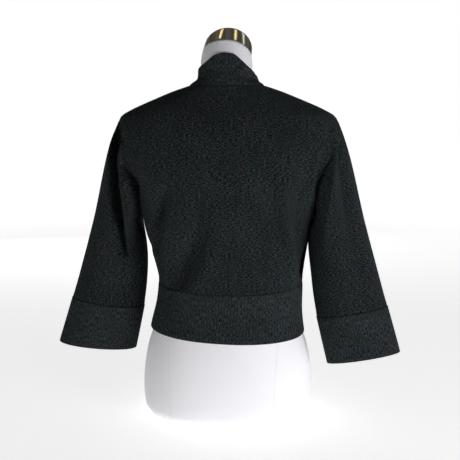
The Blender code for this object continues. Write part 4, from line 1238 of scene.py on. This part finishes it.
def floor_material(colour, glow):
    """Make the plain pale floor, bright enough to stay white under soft light."""
    material, tree, shader = new_material("pale_floor")
    place = object_place(tree)
    away = add_node(tree, "ShaderNodeVectorMath", operation="LENGTH", Vector=place)
    shades = cloud(tree, place, FLOOR_SHADES)
    values = {
        "Base Color": mixed(tree, shades, toned(colour, 0.99), toned(colour)),
        "Roughness": 0.9,
        "Specular IOR Level": 0.1,
        "Emission Color": WHITE,
        "Emission Strength": spread(tree, away.outputs["Value"], 1.0, 3.2, glow, 1.0),
    }
    finish_shader(tree, shader, values)
    return material


def dressed(obj, node, material):
    """Put a finished piece in its node's place."""
    obj.data.materials.append(material)
    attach(obj, "root")
    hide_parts(node)


def shared_material(name, maker, *arguments):
    """Return a material by name, and make it the first time."""
    return bpy.data.materials.get(name) or maker(name, *arguments)


def add_cloth(scene, name, node, grid, normals, closed=False, ribs=0, flat=None):
    sizes, colours = scene.cardigan_sizes, scene.cardigan_colours
    if ribs:
        yarn = shared_material("charcoal_rib", knit_material, RIB_LOOK, colours)
        rise = rib_columns(ribs, sizes.rib_height, closed)
        shape = {"rise": rise, "across": rib_places(ribs)}
        obj = add_wall(name, grid, normals, sizes.band_thickness, closed, **shape)
    else:
        yarn = shared_material("charcoal_knit", knit_material, KNIT_LOOK, colours)
        shape = {"ridge": sizes.seam_ridge, "flat": flat}
        obj = add_wall(name, grid, normals, sizes.knit_thickness, closed, **shape)
    dressed(obj, node, yarn)


def number_property(name, description, default, **limits):
    """Return a plain number's property."""
    return bpy.props.FloatProperty(name=name, description=description, default=default, **limits)


def size_property(name, description, default, low, high):
    """Return a length property in metres."""
    limits = {"min": low, "max": high, "precision": 4, "subtype": "DISTANCE", "unit": "LENGTH"}
    return number_property(name, description, default, **limits)


def angle_property(name, description, degrees):
    """Return an angle's property, with its default in degrees."""
    default = math.radians(degrees)
    return number_property(name, description, default, subtype="ANGLE", unit="ROTATION")


def colour_property(name, description, default):
    """Return a colour property."""
    return bpy.props.FloatVectorProperty(
        name=name, description=description, default=default, size=3, min=0, max=1, subtype="COLOR"
    )


class CardiganSizes(bpy.types.PropertyGroup):
    """Sizes of the cloth that can be changed without moving a piece"""

    knit_thickness: size_property("Knit thickness", "Wall of the knit", 0.0020, 0.001, 0.003)
    band_thickness: size_property("Band thickness", "Wall of the bands", 0.0022, 0.001, 0.003)
    rib_height: size_property("Rib height", "How far ribs stand up", 0.0007, 0.0, 0.002)
    seam_ridge: size_property("Seam ridge", "Lift beside the seams", 0.0005, 0.0, 0.001)


class CardiganColours(bpy.types.PropertyGroup):
    """Colours of the yarn, the form's cover and the cap"""

    knit_cool: colour_property("Cool yarn", "Green side of the yarn", (0.0124, 0.0172, 0.0174))
    knit_warm: colour_property("Warm yarn", "Purple side of the yarn", (0.0172, 0.0166, 0.0198))
    knit_fleck: colour_property("Flecks", "Light fibres in the yarn", (0.060, 0.076, 0.078))
    form_cover: colour_property("Form cover", "White jersey", (0.90, 0.895, 0.92))
    cap_metal: colour_property("Cap metal", "Warm grey metal", (0.72, 0.66, 0.54))


class StageLook(bpy.types.PropertyGroup):
    """Floor, light and camera"""

    floor_colour: colour_property("Floor", "Pale floor", (0.86, 0.86, 0.86))
    floor_glow: number_property("Floor glow", "Light that the floor adds", 0.74, min=0.0, max=2.0)
    ambient: number_property("Ambient", "Light from all round", 0.035, min=0.0, max=2.0)
    camera_distance: size_property("Camera distance", "From the form's axis", 1.5, 0.5, 5.0)
    camera_height: size_property("Camera height", "Above the floor", 0.591, 0.0, 3.0)
    camera_side: size_property("Camera side step", "To the camera's right", 0.0048, -0.1, 0.1)
    camera_turn: angle_property("Camera turn", "Round the form from straight behind", 7.0)
    camera_pitch: angle_property("Camera pitch", "Down from level", 8.59)
    lens: number_property("Lens", "Focal length", 60.70, min=10.0, subtype="DISTANCE_CAMERA")


class CARDIGAN_OT_panels(bpy.types.Operator):
    """Make the back panel and the two fronts"""

    bl_idname = "cardigan.panels"
    bl_label = "Back and fronts"

    def execute(self, context):
        scene = context.scene
        radius = 0.5 * scene.cardigan_sizes.knit_thickness
        rows = panel_rows(radius)[:, None]
        across = 1.0 - stations(2 * BACK_HALF_ROW, PANEL_PITCH, radius)[None, :] / BACK_HALF_ROW
        points, normals = back_panel(across, rows)
        add_cloth(scene, "back_knit", "back", settled(points), normals)
        across = stations(FRONT_ROW, PANEL_PITCH, radius)[None, :] / FRONT_ROW
        points, normals = front_panel(across, rows)
        for side in ("left", "right"):
            if side == "right":
                points, normals = mirror(points), mirror(normals)
            name, node = f"front_{side}_knit", f"front_{side}"
            add_cloth(scene, name, node, settled(points), normals)
        return {"FINISHED"}


class CARDIGAN_OT_sleeves(bpy.types.Operator):
    """Make the two sleeves, each one tube from armhole to cuff"""

    bl_idname = "cardigan.sleeves"
    bl_label = "Sleeves"

    def execute(self, context):
        scene = context.scene
        for side in ("left", "right"):
            parts = sleeve_grid(side, 0.5 * scene.cardigan_sizes.knit_thickness)
            if side == "right":
                parts = [mirror(part) for part in parts]
            grid, normals, plain = (part[::-1] for part in parts)
            name, node = f"sleeve_{side}_knit", f"sleeve_{side}"
            add_cloth(
                scene, name, node, grid, normals, closed=True, flat=plain
            )
        return {"FINISHED"}


class CARDIGAN_OT_cuffs(bpy.types.Operator):
    """Make the two wide ribbed cuffs"""

    bl_idname = "cardigan.cuffs"
    bl_label = "Cuffs"

    def execute(self, context):
        scene = context.scene
        for side in ("left", "right"):
            rings, ribs = ribbed_rows(cuff_grid(side), 4, True)
            grid = band_rows(rings, scene.cardigan_sizes.band_thickness)[0]
            if side == "right":
                grid = mirror(np.roll(grid, -1, axis=1))
            grid = grid[::-1]
            name, node = f"cuff_{side}_rib", f"cuff_{side}"
            normals = grid_normals(grid, True)
            add_cloth(scene, name, node, grid, normals, closed=True, ribs=ribs)
        return {"FINISHED"}


class CARDIGAN_OT_hem_band(bpy.types.Operator):
    """Make the ribbed hem band, one strip round the back from front to front"""

    bl_idname = "cardigan.hem_band"
    bl_label = "Hem band"

    def execute(self, context):
        scene = context.scene
        rows, ribs = ribbed_rows(hem_rows(), 3, False)
        grid = band_rows(rows, scene.cardigan_sizes.band_thickness)[0]
        normals = grid_normals(grid, False)
        name = "hem_band"
        add_cloth(scene, name + "_rib", name, settled(grid), normals, ribs=ribs)
        return {"FINISHED"}


class CARDIGAN_OT_collar_band(bpy.types.Operator):
    """Make the ribbed band: up the left front, round the back neck, down the right front"""

    bl_idname = "cardigan.collar_band"
    bl_label = "Collar and front band"

    def execute(self, context):
        scene = context.scene
        rows, ribs = ribbed_rows(band_grid(), 3, False)
        facing = unit(rows[3] - rows[0])
        grid, share = band_rows(rows[:3], scene.cardigan_sizes.band_thickness)
        at_seam = eased(1.0 - share / BAND_SEAM_SHARE)[:, None, None]
        normals = unit(facing * at_seam + grid_normals(grid, False) * (1.0 - at_seam))
        name = "collar_band"
        add_cloth(scene, name + "_rib", name, settled(grid), normals, ribs=ribs)
        return {"FINISHED"}


class CARDIGAN_OT_dress_form(bpy.types.Operator):
    """Make the limbless form: hips, waist, bust, shoulders and the neck that leans forward"""

    bl_idname = "cardigan.dress_form"
    bl_label = "Dress form"

    def execute(self, context):
        rings = [form_ring(cut, cut.round, cut.round) for cut in FORM_SECTIONS]
        for z in np.linspace(FORM_SHARED_FROM_Z, FORM_SHARED_TO_Z, FORM_SHARED_RINGS):
            cut = body_section(z + FORM_CLEARANCE)._replace(z=z)
            rings.append(form_ring(cut, cut.front_round, cut.back_round, FORM_CLEARANCE))
        rings = np.array(rings + [neck_ring(ring) for ring in NECK_RINGS])
        at = row_places(rings)
        wanted = np.union1d(np.linspace(0.0, at[-1], round(at[-1] / FORM_ROW_PITCH)), at)
        obj = lofted("form_cover", spline_rows(rings, at, wanted))
        colours = context.scene.cardigan_colours
        cover = shared_material("white_jersey", cover_material, tuple(colours.form_cover))
        dressed(obj, "form_torso", cover)
        return {"FINISHED"}


class CARDIGAN_OT_neck_cap(bpy.types.Operator):
    """Make the metal cap that closes the neck, deepest at the back and on the right"""

    bl_idname = "cardigan.neck_cap"
    bl_label = "Neck cap"

    def execute(self, context):
        middle, turn = neck_top()
        base = middle + turn[:, 2] * SEAM_GAP
        turns = full_turn(CAP_COLUMNS)
        rings = []
        for step in CAP_OUTLINE:
            forward = 0.5 * (1.0 - step.radius * np.sin(turns))
            height = CAP_HEIGHT * (1.0 - (1.0 - CAP_FRONT_SHARE) * forward)
            height = (height - CAP_SIDE_RISE * step.radius * np.cos(turns)) * step.height
            radius = CAP_RADIUS * step.radius
            local = np.stack([radius * np.cos(turns), radius * np.sin(turns), height], axis=1)
            rings.append(local @ turn.T + base)
        obj = lofted("neck_cap_metal", np.array(rings))
        colours = context.scene.cardigan_colours
        metal = shared_material("warm_metal", metal_material, tuple(colours.cap_metal))
        dressed(obj, "form_neck_cap", metal)
        return {"FINISHED"}


def aim(obj, target):
    """Turn a lamp so that it faces a point."""
    away = np.array(obj.location) - np.array(target)
    flat = math.hypot(away[0], away[1])
    obj.rotation_euler = (math.atan2(flat, away[2]), 0.0, math.atan2(away[0], -away[1]))


def add_lamp(name, location, width, height, power, colour):
    """Add one soft area light that the camera doesn't see."""
    data = bpy.data.lights.new(name, "AREA")
    data.shape = "RECTANGLE"
    data.size = width
    data.size_y = height
    data.energy = power
    data.color = colour
    obj = bpy.data.objects.new(name, data)
    obj.location = location
    obj.visible_camera = False
    bpy.context.scene.collection.objects.link(obj)
    return obj


class CARDIGAN_OT_stage(bpy.types.Operator):
    """Make the floor, the studio light and the camera"""

    bl_idname = "cardigan.stage"
    bl_label = "Stage"

    def execute(self, context):
        look = context.scene.cardigan_stage
        self.add_floor(look)
        for lamp in LAMPS:
            aim(add_lamp(*lamp), LAMP_TARGET)
        self.add_world(context.scene, look)
        self.add_camera(context.scene, look)
        self.add_strips(context.scene.camera.location)
        context.scene.view_settings.view_transform = "Standard"
        return {"FINISHED"}

    def add_floor(self, look):
        """Lay a wide floor under the form."""
        mesh = bpy.data.meshes.new("floor")
        signs = ((-1, -1), (1, -1), (1, 1), (-1, 1))
        corners = [(FLOOR_HALF * x, FLOOR_HALF * y, 0.0) for x, y in signs]
        mesh.from_pydata(corners, [], [(0, 1, 2, 3)])
        mesh.materials.append(floor_material(tuple(look.floor_colour), look.floor_glow))
        floor = bpy.data.objects.new("floor", mesh)
        floor.location.z = -FLOOR_DROP
        bpy.context.scene.collection.objects.link(floor)

    def add_strips(self, seen_from):
        """Stand narrow lights along the cap's axis, where the cap mirrors them."""
        middle, frame_turn = neck_top()
        axis = frame_turn[:, 2]
        size = (CAP_STRIP_WIDTH, CAP_STRIP_LENGTH)
        for strip in CAP_STRIPS:
            angle = math.radians(strip.turn)
            facing = frame_turn @ np.array([math.cos(angle), math.sin(angle), 0.0])
            spot = middle + CAP_RADIUS * facing + CAP_STRIP_RISE * axis
            view = unit(np.array(seen_from) - spot)
            toward = 2.0 * (facing @ view) * facing - view
            place = spot + toward * CAP_STRIP_REACH
            obj = add_lamp(strip.name, place, *size, strip.power, strip.colour)
            up = unit(axis - toward * (axis @ toward))
            turn = np.eye(4)
            turn[:3] = np.stack([np.cross(up, toward), up, toward, place], axis=1)
            obj.matrix_world = turn.T.tolist()
            obj.visible_diffuse = False

    def add_world(self, scene, look):
        """Light from all round, with a plain white background."""
        world = bpy.data.worlds.new("studio")
        world.use_nodes = True
        tree = world.node_tree
        soft = tree.nodes["Background"]
        soft.inputs["Color"].default_value = WHITE
        plain = add_node(tree, "ShaderNodeBackground", Color=WHITE, Strength=1.0)
        seen = add_node(tree, "ShaderNodeLightPath").outputs
        mix = add_node(tree, "ShaderNodeMixShader")
        shine = times_plus(tree, seen["Is Glossy Ray"], GLOSSY_BOOST, look.ambient)
        connect(tree, shine, soft.inputs["Strength"])
        parts = (seen["Is Camera Ray"], soft.outputs[0], plain.outputs[0])
        for part, socket in zip(parts, mix.inputs):
            connect(tree, part, socket)
        connect(tree, mix.outputs[0], tree.nodes["World Output"].inputs["Surface"])
        scene.world = world

    def add_camera(self, scene, look):
        """Stand the camera behind the form, a little to the wearer's right."""
        data = bpy.data.cameras.new("camera")
        data.lens = look.lens
        camera = bpy.data.objects.new("camera", data)
        sin, cos = math.sin(look.camera_turn), math.cos(look.camera_turn)
        camera.location = (
            -look.camera_distance * sin - look.camera_side * cos,
            look.camera_distance * cos - look.camera_side * sin,
            look.camera_height,
        )
        pitch = 0.5 * math.pi - look.camera_pitch
        camera.rotation_euler = (pitch, 0.0, math.pi + look.camera_turn)
        scene.collection.objects.link(camera)
        scene.camera = camera


OPERATORS = (
    CARDIGAN_OT_dress_form,
    CARDIGAN_OT_neck_cap,
    CARDIGAN_OT_panels,
    CARDIGAN_OT_sleeves,
    CARDIGAN_OT_cuffs,
    CARDIGAN_OT_hem_band,
    CARDIGAN_OT_collar_band,
    CARDIGAN_OT_stage,
)


class CARDIGAN_PT_build(bpy.types.Panel):
    """Lists the sizes, the colours and the steps"""

    bl_idname = "CARDIGAN_PT_build"
    bl_label = "Cardigan"
    bl_space_type = "VIEW_3D"
    bl_region_type = "UI"
    bl_category = "Cardigan"

    def draw(self, context):
        layout = self.layout
        scene = context.scene
        for group in (scene.cardigan_sizes, scene.cardigan_colours, scene.cardigan_stage):
            box = layout.box()
            for name in group.__annotations__:
                box.prop(group, name)
        for operator in OPERATORS:
            layout.operator(operator.bl_idname)


GROUPS = (CardiganSizes, CardiganColours, StageLook)


def register():
    """Register the classes and give each scene its settings."""
    for cls in (*GROUPS, *OPERATORS, CARDIGAN_PT_build):
        bpy.utils.register_class(cls)
    bpy.types.Scene.cardigan_sizes = bpy.props.PointerProperty(type=CardiganSizes)
    bpy.types.Scene.cardigan_colours = bpy.props.PointerProperty(type=CardiganColours)
    bpy.types.Scene.cardigan_stage = bpy.props.PointerProperty(type=StageLook)


def unregister():
    """Take the settings and the classes away again."""
    del bpy.types.Scene.cardigan_stage
    del bpy.types.Scene.cardigan_colours
    del bpy.types.Scene.cardigan_sizes
    for cls in (CARDIGAN_PT_build, *OPERATORS[::-1], *GROUPS[::-1]):
        bpy.utils.unregister_class(cls)


def main():
    """Make every piece and the stage."""
    register()
    bpy.ops.cardigan.dress_form()
    bpy.ops.cardigan.neck_cap()
    bpy.ops.cardigan.panels()
    bpy.ops.cardigan.sleeves()
    bpy.ops.cardigan.cuffs()
    bpy.ops.cardigan.hem_band()
    bpy.ops.cardigan.collar_band()
    bpy.ops.cardigan.stage()
    bpy.context.view_layer.update()


if __name__ == "__main__":
    main()
